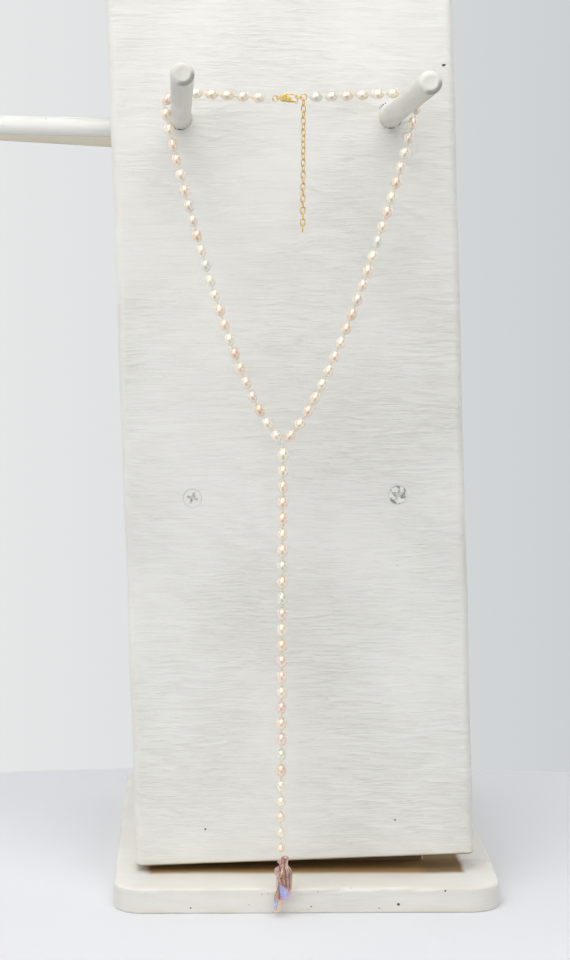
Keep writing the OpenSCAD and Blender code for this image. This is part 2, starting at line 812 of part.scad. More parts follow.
module clasp_lever() {
    color(gold)
    translate([clasp_x, neck_y, clasp_z])
    difference() {
        flat(slot_w - 2 * lever_side_gap) lever_outline();
        translate([pin_x, 0, pin_z])
        rotate([90, 0, 0])
        cylinder(h = clasp_w, r = pin_d / 2 + pin_gap, center = true, $fn = ring_fn);
    }
}

// Oval link hanging down from its middle, its wire a closed tube
module link() {
    r = link_w / 2;
    half = (link_pitch + link_wire + 1.5 * link_gap) / 2 - r;
    rings = [
        for (e = [1, -1], a = [0:30:180])
        [[e * r * cos(a), 0, e * (half + r * sin(a))], link_wire / 2]
    ];
    tube(rings, link_sides, closed = true, start = [0, 1, 0]);
}

module extender_chain() {
    count = round(chain_len / link_pitch);
    reach = (link_pitch + link_wire + 1.5 * link_gap) / 2;
    first_z = hook_ring_z - extender_ring_r + (ring_wire + link_wire) / 2 + link_gap - reach;
    color(gold)
    for (i = [0:count - 1])
        translate([extender_ring_x, neck_y, first_z - link_pitch * i])
        rotate([0, 0, first_turn + (90 - link_twist) * i])
        link();
}

stand_base();
stand_post();
stand_board();
peg_left();
peg_right();
board_screw_left();
board_screw_right();
side_rail_front();
side_rail_back();
neck_pearls_left();
neck_pearls_right();
drop_pearls();
neck_thread_left();
neck_thread_right();
drop_thread();
pendant_pearl();
clasp_ring();
clasp_body();
clasp_lever();
hook_ring();
extender_ring();
extender_chain();
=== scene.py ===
"""Looks of a knotted pearl lariat necklace that hangs on its white painted peg stand.

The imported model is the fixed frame. This script adds the brush-painted wood, the pearls with
their own shapes and overtones, the silk with its knots, the baroque pearl, the gold-plated
metal, a pale studio and the camera. Lengths in the code are millimetres unless a name says
otherwise, and Blender gets metres.
"""

import json
import logging
import math
from dataclasses import dataclass, field
from enum import Enum, IntEnum
from typing import Iterable, Sequence

import bmesh
import bpy
import numpy as np
from mathutils import Matrix, Vector, noise

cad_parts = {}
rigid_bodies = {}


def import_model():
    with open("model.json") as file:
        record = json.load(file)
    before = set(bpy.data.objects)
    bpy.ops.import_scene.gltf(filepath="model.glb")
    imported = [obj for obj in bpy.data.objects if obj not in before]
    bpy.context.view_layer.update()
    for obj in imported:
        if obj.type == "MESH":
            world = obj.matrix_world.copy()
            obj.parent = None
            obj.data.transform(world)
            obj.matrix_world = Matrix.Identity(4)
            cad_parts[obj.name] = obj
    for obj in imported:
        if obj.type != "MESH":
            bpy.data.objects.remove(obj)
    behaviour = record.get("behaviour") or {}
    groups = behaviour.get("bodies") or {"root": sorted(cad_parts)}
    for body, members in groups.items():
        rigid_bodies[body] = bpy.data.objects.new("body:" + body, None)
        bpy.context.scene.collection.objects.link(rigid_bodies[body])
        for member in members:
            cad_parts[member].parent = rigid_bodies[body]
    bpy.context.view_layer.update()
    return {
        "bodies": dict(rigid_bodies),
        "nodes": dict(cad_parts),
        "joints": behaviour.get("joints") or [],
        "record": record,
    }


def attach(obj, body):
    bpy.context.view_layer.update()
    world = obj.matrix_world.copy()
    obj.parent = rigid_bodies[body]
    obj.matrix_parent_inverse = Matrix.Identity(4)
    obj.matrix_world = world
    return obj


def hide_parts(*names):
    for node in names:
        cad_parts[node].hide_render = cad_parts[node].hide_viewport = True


LOG = logging.getLogger("lariat")
MM = 0.001
SEED = 11
Piece = bpy.types.Object
Material = bpy.types.Material
Tree = bpy.types.NodeTree
Socket = bpy.types.NodeSocket
Value = Socket | float
Triple = tuple[float, float, float]
Thread = list[tuple[np.ndarray, float]]


class Body(Enum):
    """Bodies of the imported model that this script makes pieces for."""

    STAND = "stand_and_necklace"


class Slot(Enum):
    """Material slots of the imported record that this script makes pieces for."""

    WHITE_PAINT = "white_paint"
    CREAM_PAINT = "cream_paint"
    PEARL = "pearl"
    SILK = "silk"
    BAROQUE = "baroque_pearl"
    GOLD = "gold_plate"


class PearlShape(IntEnum):
    """Forms that freshwater pearls of one strand take, in the order of their meshes."""

    OVAL = 0
    DROP = 1
    RINGED = 2
    BARREL = 3
    POTATO = 4


# Small helpers


def srgb(code: str) -> tuple[float, float, float, float]:
    """Turns a hex colour into linear light.

    Args:
        code: Six hex digits of an sRGB colour.

    Returns:
        Linear red, green, blue and an alpha of 1.
    """
    parts = [int(code[i : i + 2], 16) / 255 for i in (0, 2, 4)]
    linear = [c / 12.92 if c <= 0.04045 else ((c + 0.055) / 1.055) ** 2.4 for c in parts]
    return (*linear, 1.0)


def add(tree: Tree, kind: str, inputs: dict | None = None, **settings: object) -> bpy.types.Node:
    """Adds one node with its settings, values and links.

    Args:
        tree: Node tree that takes the node.
        kind: Blender's name of the node type.
        inputs: Value or output socket for each named or numbered input.
        **settings: Attributes of the node itself.

    Returns:
        The new node.
    """
    node = tree.nodes.new(kind)
    for key, value in settings.items():
        setattr(node, key, value)
    for key, value in (inputs or {}).items():
        if isinstance(value, Socket):
            tree.links.new(value, node.inputs[key])
        else:
            node.inputs[key].default_value = value
    return node


def into_scene(item: Piece) -> Piece:
    """Links a new object to the scene and gives it back."""
    bpy.context.scene.collection.objects.link(item)
    return item


def settle(piece: Piece, body: Body, slot: Slot, *nodes: str) -> Piece:
    """Lets a finished piece ride on its body and stand for CAD nodes, and logs it.

    Args:
        piece: The finished piece, in place.
        body: Body that it moves with.
        slot: Record slot that its finish belongs to; not used.
        *nodes: CAD nodes that it stands for.

    Returns:
        The same piece.
    """
    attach(piece, body.value)
    if nodes:
        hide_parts(*nodes)
    LOG.info("%s: %d faces on %s", piece.name, len(piece.data.polygons), body.value)
    return piece


# Mesh building

SHARP_ANGLE = 40.0
SUPPORT = 0.5
FILLET_ANGLES = (0, 22.5, 45, 67.5, 90)
FILLET_ROWS = 1 + len(FILLET_ANGLES)


def make_object(
    name: str, points: np.ndarray, faces: Sequence[Sequence[int]], sharp: float = SHARP_ANGLE
) -> Piece:
    """Makes a smooth-shaded mesh object with its faces outward.

    Args:
        name: Name of the object and its mesh.
        points: Vertices in millimetres.
        faces: Vertex numbers of each face.
        sharp: Edges that turn by more than these degrees stay sharp.

    Returns:
        The object, linked to the scene.
    """
    mesh = bpy.data.meshes.new(name)
    mesh.from_pydata((np.asarray(points, float).reshape(-1, 3) * MM).tolist(), [], [list(f) for f in faces])
    work = bmesh.new()
    work.from_mesh(mesh)
    bmesh.ops.recalc_face_normals(work, faces=work.faces)
    work.to_mesh(mesh)
    work.free()
    mesh.shade_smooth()
    mesh.set_sharp_from_angle(angle=math.radians(sharp))
    return into_scene(bpy.data.objects.new(name, mesh))


def loft(rings: np.ndarray, closed: bool = False) -> tuple[np.ndarray, list[list[int]]]:
    """Joins rings of points with quads, and closes both ends unless the rings form a loop.

    Args:
        rings: Array of rings, points and coordinates.
        closed: Whether the last ring joins the first.

    Returns:
        Points and faces.
    """
    count, sides = rings.shape[:2]
    faces = []
    for i in range(count if closed else count - 1):
        j = (i + 1) % count
        for k in range(sides):
            m = (k + 1) % sides
            faces.append([i * sides + k, i * sides + m, j * sides + m, j * sides + k])
    if not closed:
        faces.append(list(range(sides)))
        faces.append([(count - 1) * sides + k for k in range(sides)])
    return rings.reshape(-1, 3), faces


def rounded_outline(width: float, depth: float, radius: float, step: float, arc: int = 5) -> np.ndarray:
    """Outline of a rectangle with round corners, with points along its flats.

    Args:
        width: Full size along the first axis.
        depth: Full size along the second axis.
        radius: Radius of the corners.
        step: Largest distance between points on the flats.
        arc: Number of segments in a corner.

    Returns:
        Points of the outline, and their number doesn't depend on an inset of all three sizes.
    """
    points: list[tuple[float, float]] = []
    half = (width / 2 - radius, depth / 2 - radius)
    corners = [(1, 1, 0), (-1, 1, 90), (-1, -1, 180), (1, -1, 270)]
    for index, (sx, sy, start) in enumerate(corners):
        cx, cy = sx * half[0], sy * half[1]
        for i in range(arc + 1):
            a = math.radians(start + 90 * i / arc)
            points.append((cx + radius * math.cos(a), cy + radius * math.sin(a)))
        nx, ny, _ = corners[(index + 1) % 4]
        end = math.radians(start + 90)
        a0 = np.array([cx + radius * math.cos(end), cy + radius * math.sin(end)])
        b0 = np.array([nx * half[0] + radius * math.cos(end), ny * half[1] + radius * math.sin(end)])
        length = 2 * (half[0] if index % 2 == 0 else half[1])
        count = max(2, round(length / step))
        # A point close to each corner keeps the shading of the flat even.
        support = min(0.12, SUPPORT / length)
        for t in [support, *[i / count for i in range(1, count)], 1 - support]:
            points.append(tuple(a0 + (b0 - a0) * t))
    return np.array(points)


def fillet(radius: float) -> list[tuple[float, float]]:
    """Rows of a plate's low end, from its flat to the top of its fillet.

    Args:
        radius: Radius of the fillet.

    Returns:
        Pairs of inset and height.
    """
    turns = [math.radians(a) for a in FILLET_ANGLES]
    arc = [(radius * (1 - math.sin(a)), radius * (1 - math.cos(a))) for a in turns]
    return [(radius + SUPPORT, 0.0), *arc]


def edge_profile(length: float, first: float, last: float, step: float) -> list[tuple[float, float]]:
    """Inset and height pairs of a plate whose two ends have fillets.

    Args:
        length: Distance between the two ends.
        first: Fillet radius of the low end.
        last: Fillet radius of the high end.
        step: Largest distance between sections.

    Returns:
        Pairs from the low end to the high end.
    """
    low = fillet(first)
    high = [(inset, length - height) for inset, height in fillet(last)][::-1]
    clear = 0.4
    a, b = low[-1][1] + clear, high[0][1] - clear
    count = max(1, round((b - a) / step))
    return low + [(0.0, a + (b - a) * i / count) for i in range(count + 1)] + high


def ruffle(points: np.ndarray, amount: float, scale: float, seed: float = 0.0) -> np.ndarray:
    """Moves points a little, as hand-brushed paint does to an edge.

    Args:
        points: Points in millimetres.
        amount: Largest move.
        scale: Size of the waves.
        seed: Shift of the pattern.

    Returns:
        The moved points.
    """
    shift = Vector((seed, seed * 1.7, seed * 0.6))
    moves = [noise.noise_vector(Vector(p) / scale + shift) for p in points.reshape(-1, 3)]
    return points + amount * np.array(moves, float).reshape(points.shape)


def through(matrix: Matrix, points: np.ndarray) -> np.ndarray:
    """Points moved by a 4x4 matrix."""
    m = np.array(matrix, float)
    return points @ m[:3, :3].T + m[:3, 3]


def lathe(profile: Sequence[tuple[float, float]], sides: int) -> np.ndarray:
    """Rings of points round the Z axis for pairs of radius and height."""
    a = np.arange(sides) * 2 * math.pi / sides
    return np.array([[(r * math.cos(t), r * math.sin(t), h) for t in a] for r, h in profile])


def bake(source: Piece, name: str, extras: Iterable[Piece] = ()) -> Piece:
    """Turns an object's modifiers into a plain mesh at the origin.

    Args:
        source: Object with modifiers, removed afterwards.
        name: Name of the result.
        extras: Helper objects that are removed too.

    Returns:
        The plain object.
    """
    bpy.context.view_layer.update()
    graph = bpy.context.evaluated_depsgraph_get()
    mesh = bpy.data.meshes.new_from_object(source.evaluated_get(graph), depsgraph=graph)
    for helper in [source, *extras]:
        bpy.data.objects.remove(helper)
    mesh.name = name
    return into_scene(bpy.data.objects.new(name, mesh))


def drill(
    piece: Piece, cutters: Sequence[Piece], sharp: float = SHARP_ANGLE
) -> Piece:
    """Cuts holes in a piece.

    Args:
        piece: Solid piece.
        cutters: Closed shapes to take away.
        sharp: Edges that turn by more than these degrees stay sharp.

    Returns:
        The drilled piece, under the same name.
    """
    name = piece.name
    for cutter in cutters:
        cut = piece.modifiers.new("hole", "BOOLEAN")
        cut.operation = "DIFFERENCE"
        cut.solver = "EXACT"
        cut.object = cutter
    made = bake(piece, name, cutters)
    made.name = name
    made.data.shade_smooth()
    made.data.set_sharp_from_angle(angle=math.radians(sharp))
    return made


def store(piece: Piece, name: str, values: np.ndarray) -> None:
    """Keeps one number for each vertex under a name that materials read."""
    layer = piece.data.attributes.new(name, "FLOAT", "POINT")
    layer.data.foreach_set("value", np.asarray(values, np.float32).ravel())


def corners_of(piece: Piece) -> np.ndarray:
    """Vertices of a piece in millimetres."""
    flat = np.zeros(len(piece.data.vertices) * 3, np.float32)
    piece.data.vertices.foreach_get("co", flat)
    return flat.reshape(-1, 3).astype(float) / MM


# Materials

SOFT = {"interpolation_type": "SMOOTHSTEP"}
COLOURS = {"data_type": "RGBA"}
NUMBERS = {"data_type": "FLOAT"}


def per_metre(size: float) -> float:
    """Scale that gives a pattern cells of this size."""
    return 1 / (size * MM)


def cells(vector: Socket, sizes: Sequence[float], turn: Sequence[float] = (0, 0, 0)) -> dict[str, object]:
    """Inputs of a mapping that measures coordinates in cells of these sizes, then turns them by degrees."""
    scales = [per_metre(size) for size in sizes]
    return {"Vector": vector, "Rotation": [math.radians(a) for a in turn], "Scale": scales}


def fill_band(node: bpy.types.Node, stops: Sequence[tuple[float, str]]) -> Socket:
    """Fills a colour ramp's band with colours that flow into each other.

    Args:
        node: The colour ramp.
        stops: Place and hex colour of each one.

    Returns:
        The ramp's colour.
    """
    band = node.color_ramp
    band.interpolation = "EASE"
    while len(band.elements) < len(stops):
        band.elements.new(0.5)
    for element, (place, code) in zip(band.elements, stops):
        element.position = place
        element.color = srgb(code)
    return node.outputs["Color"]


class Wiring:
    """A shading node tree, of a material or of the world, that grows node by node."""

    def __init__(self, tree: Tree) -> None:
        """Empties the tree."""
        self.tree = tree
        self.tree.nodes.clear()

    def node(
        self, kind: str, inputs: dict | Sequence = (), out: int | str = 0, **settings: object
    ) -> Socket:
        """Adds one node and gives back one of its outputs.

        Args:
            kind: Blender's name of the node type, without ShaderNode.
            inputs: Values or output sockets, by name or number, or in the inputs' order.
            out: Name or number of the output.
            **settings: Attributes of the node itself.

        Returns:
            The output.
        """
        named = inputs if isinstance(inputs, dict) else dict(enumerate(inputs))
        return add(self.tree, "ShaderNode" + kind, named, **settings).outputs[out]


class Shader(Wiring):
    """Node tree of one material."""

    def __init__(self, name: str) -> None:
        """Starts an empty material, named after the real one."""
        self.material = bpy.data.materials.new(name)
        self.material.use_nodes = True
        super().__init__(self.material.node_tree)
        self.place = self.node("TexCoord", out="Object")

    def finish(self, **sockets: Value | Sequence[float]) -> Material:
        """Adds the surface with its sockets, underscores standing for spaces.

        Args:
            **sockets: Value or output for each socket of the surface.

        Returns:
            The finished material.
        """
        named = {key.replace("_", " "): value for key, value in sockets.items()}
        surface = self.node("BsdfPrincipled", named)
        add(self.tree, "ShaderNodeOutputMaterial", {"Surface": surface})
        return self.material


@dataclass(frozen=True)
class BareWoodShadeStrip:
    """Brown, dull strip on the base's top under the board: bare wood that the brush missed, with painted
    shade of the gap under the board.
    """

    start: float
    depth: float = 30.0
    ends: tuple[float, float] = (-64.6, 65.8)
    front_fade: tuple[float, float] = (4.0, 1.6)
    back_fade: float = 3.0
    end_fade: float = 1.5
    deep_fade: tuple[float, float] = (20.0, 14.0)
    # Colours of the strip: bare wood with painted shade, and its deeper tone near the right end.
    body: str = "BE9B64"
    deep: str = "A4885C"

    def lay(self, s: Shader, place: Socket, colour: Socket) -> tuple[Socket, Socket]:
        """Lays the bare wood and its painted shade over the paint's colour, deeper in tone near its right
        end.

        Args:
            s: Material that it belongs to.
            place: Coordinates in metres.
            colour: Colour of the paint.

        Returns:
            The colour with the strip in it, and how bare each place is, from 0 to 1.
        """
        across = s.node("SeparateXYZ", (place,), 0)
        inward = s.node("SeparateXYZ", (place,), 1)
        left, right = self.ends
        back = self.start + self.depth
        fades = (
            (inward, self.start - self.front_fade[0], self.start + self.front_fade[1], 0.0, 1.0),
            (inward, back - self.back_fade, back, 1.0, 0.0),
            (across, left - self.end_fade, left + self.end_fade, 0.0, 1.0),
            (across, right - self.end_fade, right + self.end_fade, 1.0, 0.0),
        )
        share: Value = 1.0
        for value, low, high, to_low, to_high in fades:
            fade = s.node("MapRange", (value, low * MM, high * MM, to_low, to_high), **SOFT)
            share = s.node("Math", (share, fade), operation="MULTIPLY")
        # Deeper painted shade towards the strip's right end.
        first, last = (right - self.deep_fade[0]) * MM, (right - self.deep_fade[1]) * MM
        deeper_shade = s.node("MapRange", (across, first, last), **SOFT)
        wood = s.node("Mix", {0: deeper_shade, 6: srgb(self.body), 7: srgb(self.deep)}, 2, **COLOURS)
        return s.node("Mix", {0: share, 6: colour, 7: wood}, 2, **COLOURS), share


@dataclass(frozen=True)
class PaintFinish:
    """House paint brushed on wood: long ridges along the brush, a warm worn edge, specks and pits.

    The ridges are drawn wider than a brush's hairs leave them, which are too fine to show.
    Meshes give it two attributes: edge, how worn a place is, and under, how much painted shade darkens a
    place.
    """

    name: str
    body: str = "EFEEE8"
    shade: str = "E2E1D9"
    worn: str = "E6DDC6"
    # Colour of the painted shade, where the attribute under marks it.
    painted_shade: str = "80603A"
    speck: str = "4A4034"
    ridges: Triple = (38.46, 11.11, 0.6667)
    turn: Triple = (0, 2.0, 0)
    ridge_depth: float = 0.11
    roughness: float = 0.42
    wear: float = 0.5
    speck_share: float = 0.08
    bare: BareWoodShadeStrip | None = None
    pits: tuple[tuple[float, float, float, float], ...] = ()
    wander_size: float = 26.32
    wander: float = 3.5
    load_size: float = 58.82
    patch_size: float = 16.67
    dust_size: float = 2.381
    dust_cloud: float = 29.41
    dust_limit: float = 0.78
    hair_share: float = 1.9
    run_share: float = 0.4
    pit_depth: float = 1.5

    def make(self) -> Material:
        """Builds the paint: satin white that catches light along its brush ridges."""
        s = Shader(self.name)
        place = self.wandering(s)
        along = s.node("Mapping", cells(place, self.ridges, self.turn))
        ridges = s.node("TexNoise", {"Vector": along, "Scale": 1.0, "Detail": 4.0, "Roughness": 0.62})
        load = s.node("TexNoise", {"Vector": s.place, "Scale": per_metre(self.load_size), "Detail": 3.0})
        edge = s.node("Attribute", out="Fac", attribute_name="edge")
        # The attribute under marks painted shade, and there the paint is also matt.
        dull = s.node("Attribute", out="Fac", attribute_name="under")
        colour = self.tint(s, ridges, load, edge, dull)
        # Bare wood under the board, with painted shade, where the finish has it.
        if self.bare is not None:
            colour, bare = self.bare.lay(s, place, colour)
            dull = s.node("Math", (dull, bare), operation="MAXIMUM")
        speck = self.specks(s, edge)
        pit = s.node("Math", (speck, self.pit_depth), operation="MULTIPLY")
        height = s.node("Math", (self.relief(s, place, ridges, load), pit), operation="SUBTRACT")
        rough = s.node("MapRange", (ridges, 0.3, 0.7, self.roughness + 0.08, self.roughness - 0.05), **SOFT)
        return s.finish(
            Base_Color=s.node("Mix", {0: speck, 6: colour, 7: srgb(self.speck)}, 2, **COLOURS),
            Roughness=s.node("Math", (rough, dull), operation="MAXIMUM"),
            Specular_IOR_Level=0.4,
            Normal=s.node("Bump", {"Height": height, "Distance": self.ridge_depth * MM}),
        )

    def wandering(self, s: Shader) -> Socket:
        """Pushes the coordinates about a little, as no brush runs quite straight.

        Args:
            s: Material that it belongs to.

        Returns:
            The coordinates, in metres.
        """
        inputs = {"Vector": s.place, "Scale": per_metre(self.wander_size)}
        centred = (s.node("TexNoise", inputs, "Color"), (0.5, 0.5, 0.5))
        centred = s.node("VectorMath", centred, operation="SUBTRACT")
        push = s.node("VectorMath", {0: centred, "Scale": self.wander * MM}, operation="SCALE")
        return s.node("VectorMath", (s.place, push), operation="ADD")

    def tint(self, s: Shader, ridges: Socket, load: Socket, edge: Socket, under: Socket) -> Socket:
        """Mixes the paint's colour, without its specks, with painted shade in the ridges' valleys and where
        under marks it.

        Args:
            s: Material that it belongs to.
            ridges: Pattern of the brush ridges.
            load: How thick the paint lies.
            edge: How worn each place is.
            under: How much painted shade darkens each place.

        Returns:
            The colour.
        """
        thick = s.node("MapRange", (load, 0.35, 0.75, 0.0, 0.5), **SOFT)
        # Darker colour in the valleys between brush ridges: painted shade.
        valley_shade = s.node("MapRange", (ridges, 0.36, 0.5, 0.28, 0.0), **SOFT)
        patchy = s.node("TexNoise", {"Vector": s.place, "Scale": per_metre(self.patch_size), "Detail": 4.0})
        patchy = s.node("MapRange", (patchy, 0.35, 0.65, 0.0, self.wear), **SOFT)
        worn = s.node("Math", (edge, patchy), operation="MULTIPLY")
        # The ridges' valleys and the places that under marks take painted shade.
        layers = ((thick, self.shade), (valley_shade, self.shade), (worn, self.worn), (under, self.painted_shade))
        colour: Socket | Sequence[float] = srgb(self.body)
        for share, code in layers:
            colour = s.node("Mix", {0: share, 6: colour, 7: srgb(code)}, 2, **COLOURS)
        return colour

    def relief(self, s: Shader, place: Socket, ridges: Socket, load: Socket) -> Socket:
        """Shapes the paint's surface: ridges, hair lines where it lies thick, and a few broad runs.

        Args:
            s: Material that it belongs to.
            place: Coordinates in metres, as the brush wandered.
            ridges: Pattern of the brush ridges.
            load: How thick the paint lies.

        Returns:
            The pattern of heights.
        """
        fine = [size / self.hair_share for size in self.ridges]
        broad = [size / self.run_share for size in self.ridges]
        hairs = s.node("Mapping", cells(place, fine, self.turn))
        hairs = s.node("TexNoise", {"Vector": hairs, "Scale": 1.0, "Detail": 3.0})
        apart = s.node("Math", (hairs, 0.5), operation="SUBTRACT")
        apart = s.node("Math", (apart,), operation="ABSOLUTE")
        crest = s.node("MapRange", (apart, 0.0, 0.035, 0.45, 0.0), **SOFT)
        runs = s.node("Mapping", cells(place, broad, self.turn))
        runs = s.node("TexNoise", {"Vector": runs, "Scale": 1.0, "Roughness": 0.4})
        runs = s.node("MapRange", (runs, 0.58, 0.66, 0.0, 0.2), **SOFT)
        lift = s.node("MapRange", (load, 0.3, 0.7, 0.55, 1.0), **SOFT)
        height = s.node("Math", (ridges, crest), operation="ADD")
        height = s.node("Math", (height, lift), operation="MULTIPLY")
        return s.node("Math", (height, runs), operation="ADD")

    def specks(self, s: Shader, edge: Socket) -> Socket:
        """Finds the dark specks and pits: random dust in clouds and at the edges, and the placed pits.

        Args:
            s: Material that it belongs to.
            edge: How worn each place is.

        Returns:
            How much of a speck each place is, from 0 to 1.
        """
        grain = {"Vector": s.place, "Scale": per_metre(self.dust_size), "Detail": 3.0, "Roughness": 0.6}
        dust = s.node("TexNoise", grain)
        near = s.node("TexNoise", {"Vector": s.place, "Scale": per_metre(self.dust_cloud)})
        near = s.node("MapRange", (near, 0.5, 0.68, 0.0, self.speck_share), **SOFT)
        worn = s.node("Math", (edge, 0.06), operation="MULTIPLY")
        near = s.node("Math", (near, worn), operation="ADD")
        limit = s.node("Math", (self.dust_limit, near), operation="SUBTRACT")
        over = s.node("Math", (dust, limit), operation="SUBTRACT")
        speck = s.node("MapRange", (over, 0.0, 0.03), **SOFT)
        uneven = s.node("Math", (dust, 0.5), operation="SUBTRACT")
        for *middle, radius in self.pits:
            place = (s.place, [c * MM for c in middle])
            away = s.node("VectorMath", place, "Value", operation="DISTANCE")
            rag = s.node("Math", (uneven, radius * MM), operation="MULTIPLY")
            away = s.node("Math", (away, rag), operation="ADD")
            pit = s.node("MapRange", (away, radius * MM * 0.6, radius * MM, 1.0, 0.0), **SOFT)
            speck = s.node("Math", (speck, pit), operation="MAXIMUM")
        return speck


@dataclass(frozen=True)
class PearlFinish:
    """Freshwater nacre: glossy skin over a warm body, cream, rose, tan or silvery green by pearl.

    Nacre has an index of about 1.6. The higher one stands for the gleam of its many thin layers.
    """

    name: str = "freshwater_pearl_nacre"
    tones: tuple[tuple[float, str], ...] = (
        (0.0, "FFF0D0"),
        (0.25, "FDDDBA"),
        (0.5, "FFF1D6"),
        (0.64, "EEC795"),
        (0.76, "F8D5C2"),
        (0.9, "E3E8D0"),
        (1.0, "EDD2CC"),
    )
    rim: str = "FFE6BE"
    index: float = 2.6
    growth_size: float = 2.381
    dimples: Triple = (1.111, 1.111, 0.7692)
    dimple_depth: float = 0.008

    def make(self) -> Material:
        """Builds the nacre: a bright spot under a clear coat, a warm body and a cream rim."""
        s = Shader(self.name)
        growth = s.node("TexNoise", {"Vector": s.place, "Scale": per_metre(self.growth_size)})
        uneven = s.node("MapRange", (growth, 0.0, 1.0, -0.05, 0.05))
        tone = s.node("Attribute", out="Fac", attribute_name="overtone")
        tone = s.node("Math", (tone, uneven), operation="ADD")
        skin = s.node("Mapping", cells(s.place, self.dimples))
        skin = s.node("TexNoise", {"Vector": skin, "Scale": 1.0})
        return s.finish(
            Base_Color=fill_band(add(s.tree, "ShaderNodeValToRGB", {"Fac": tone}), self.tones),
            Roughness=s.node("MapRange", (growth, 0.3, 0.7, 0.2, 0.28), **SOFT),
            Subsurface_Weight=0.15,
            Subsurface_Radius=(1.0, 0.72, 0.5),
            Subsurface_Scale=MM,
            IOR=self.index,
            Coat_Weight=1.0,
            Coat_Roughness=0.12,
            Coat_IOR=self.index,
            Sheen_Weight=0.6,
            Sheen_Roughness=0.35,
            Sheen_Tint=srgb(self.rim),
            Normal=s.node("Bump", {"Height": skin, "Distance": self.dimple_depth * MM}),
        )


@dataclass(frozen=True)
class SilkFinish:
    """Cream silk of two twisted plies, matt with a soft sheen.

    Meshes give it along, the length of thread so far, and around, the share of the way round it.
    """

    name: str = "knotted_silk_thread"
    body: str = "FBF5E6"
    shade: str = "EFE2C6"
    twist: float = 0.7
    plies: int = 2
    fibres: Triple = (0.2, 0.2, 1.111)
    ply_depth: float = 0.04

    def make(self) -> Material:
        """Builds the silk: slanting plies with a darker line of painted shade where they meet."""
        s = Shader(self.name)
        along = s.node("Attribute", out="Fac", attribute_name="along")
        around = s.node("Attribute", out="Fac", attribute_name="around")
        turns = s.node("Math", (along, self.twist), operation="DIVIDE")
        turns = s.node("Math", (turns, around), operation="ADD")
        turns = s.node("Math", (turns, 2 * self.plies * math.pi), operation="MULTIPLY")
        wave = s.node("Math", (turns,), operation="SINE")
        ply = s.node("MapRange", (wave, -1.0, 0.4), **SOFT)
        # Real silk fibres are ten times finer than these, which are as coarse as needed to show.
        fibre = s.node("Mapping", cells(s.place, self.fibres))
        fibre = s.node("TexNoise", {"Vector": fibre, "Scale": 1.0})
        fine = s.node("Math", (fibre, 0.3), operation="MULTIPLY")
        height = s.node("Math", (ply, fine), operation="ADD")
        return s.finish(
            Base_Color=s.node("Mix", {0: ply, 6: srgb(self.shade), 7: srgb(self.body)}, 2, **COLOURS),
            Roughness=s.node("MapRange", (fibre, 0.3, 0.7, 0.5, 0.65), **SOFT),
            Sheen_Weight=0.4,
            Sheen_Roughness=0.4,
            Normal=s.node("Bump", {"Height": height, "Distance": self.ply_depth * MM}),
        )


@dataclass(frozen=True)
class BaroqueFinish:
    """Metallic baroque nacre: rose-bronze body, lavender petal with a pink rim, pale tail, peach edge, and
    painted shade in the grooves.

    Meshes give it the attributes tail, edge, petal, rim and groove, each from 0 to 1.
    """

    name: str = "baroque_pearl_nacre"
    body: tuple[tuple[float, str], ...] = ((0.25, "A97C66"), (0.5, "CBA090"), (0.75, "E8CCC2"))
    petal: str = "A9AEE6"
    petal_glow: str = "D2D2F4"
    rim: str = "E2AECB"
    tail: str = "C2CAEA"
    edge: str = "EFCDA8"
    # Dark brown of the painted shade in the grooves.
    groove: str = "4E2C1B"
    swirls: Triple = (3.125, 3.125, 5.0)
    wrinkles: Triple = (1.111, 1.111, 1.667)
    wrinkle_depth: float = 0.1

    def make(self) -> Material:
        """Builds the nacre: a metal-like gleam whose colour changes from part to part."""
        s = Shader(self.name)
        swirl = s.node("Mapping", cells(s.place, self.swirls))
        swirl = s.node("TexNoise", {"Vector": swirl, "Scale": 1.0, "Detail": 3.0})
        colour = fill_band(add(s.tree, "ShaderNodeValToRGB", {"Fac": swirl}), self.body)
        light = s.node("MapRange", (swirl, 0.42, 0.6), **SOFT)
        petal = s.node("Mix", {0: light, 6: srgb(self.petal), 7: srgb(self.petal_glow)}, 2, **COLOURS)
        tones = {"tail": srgb(self.tail), "edge": srgb(self.edge), "petal": petal, "rim": srgb(self.rim)}
        for name, tone in tones.items():
            share = s.node("Attribute", out="Fac", attribute_name=name)
            colour = s.node("Mix", {0: share, 6: colour, 7: tone}, 2, **COLOURS)
        # The grooves are darkened: painted shade.
        groove = s.node("Attribute", out="Fac", attribute_name="groove")
        groove = s.node("Math", (groove, 0.85), operation="MULTIPLY")
        skin = s.node("Mapping", cells(s.place, self.wrinkles))
        skin = s.node("TexNoise", {"Vector": skin, "Scale": 1.0, "Detail": 3.0, "Roughness": 0.6})
        return s.finish(
            Base_Color=s.node("Mix", {0: groove, 6: colour, 7: srgb(self.groove)}, 2, **COLOURS),
            Metallic=0.72,
            Roughness=s.node("MapRange", (swirl, 0.3, 0.7, 0.1, 0.2), **SOFT),
            Coat_Weight=1.0,
            Coat_Roughness=0.03,
            Coat_IOR=1.6,
            Normal=s.node("Bump", {"Height": skin, "Distance": self.wrinkle_depth * MM}),
        )


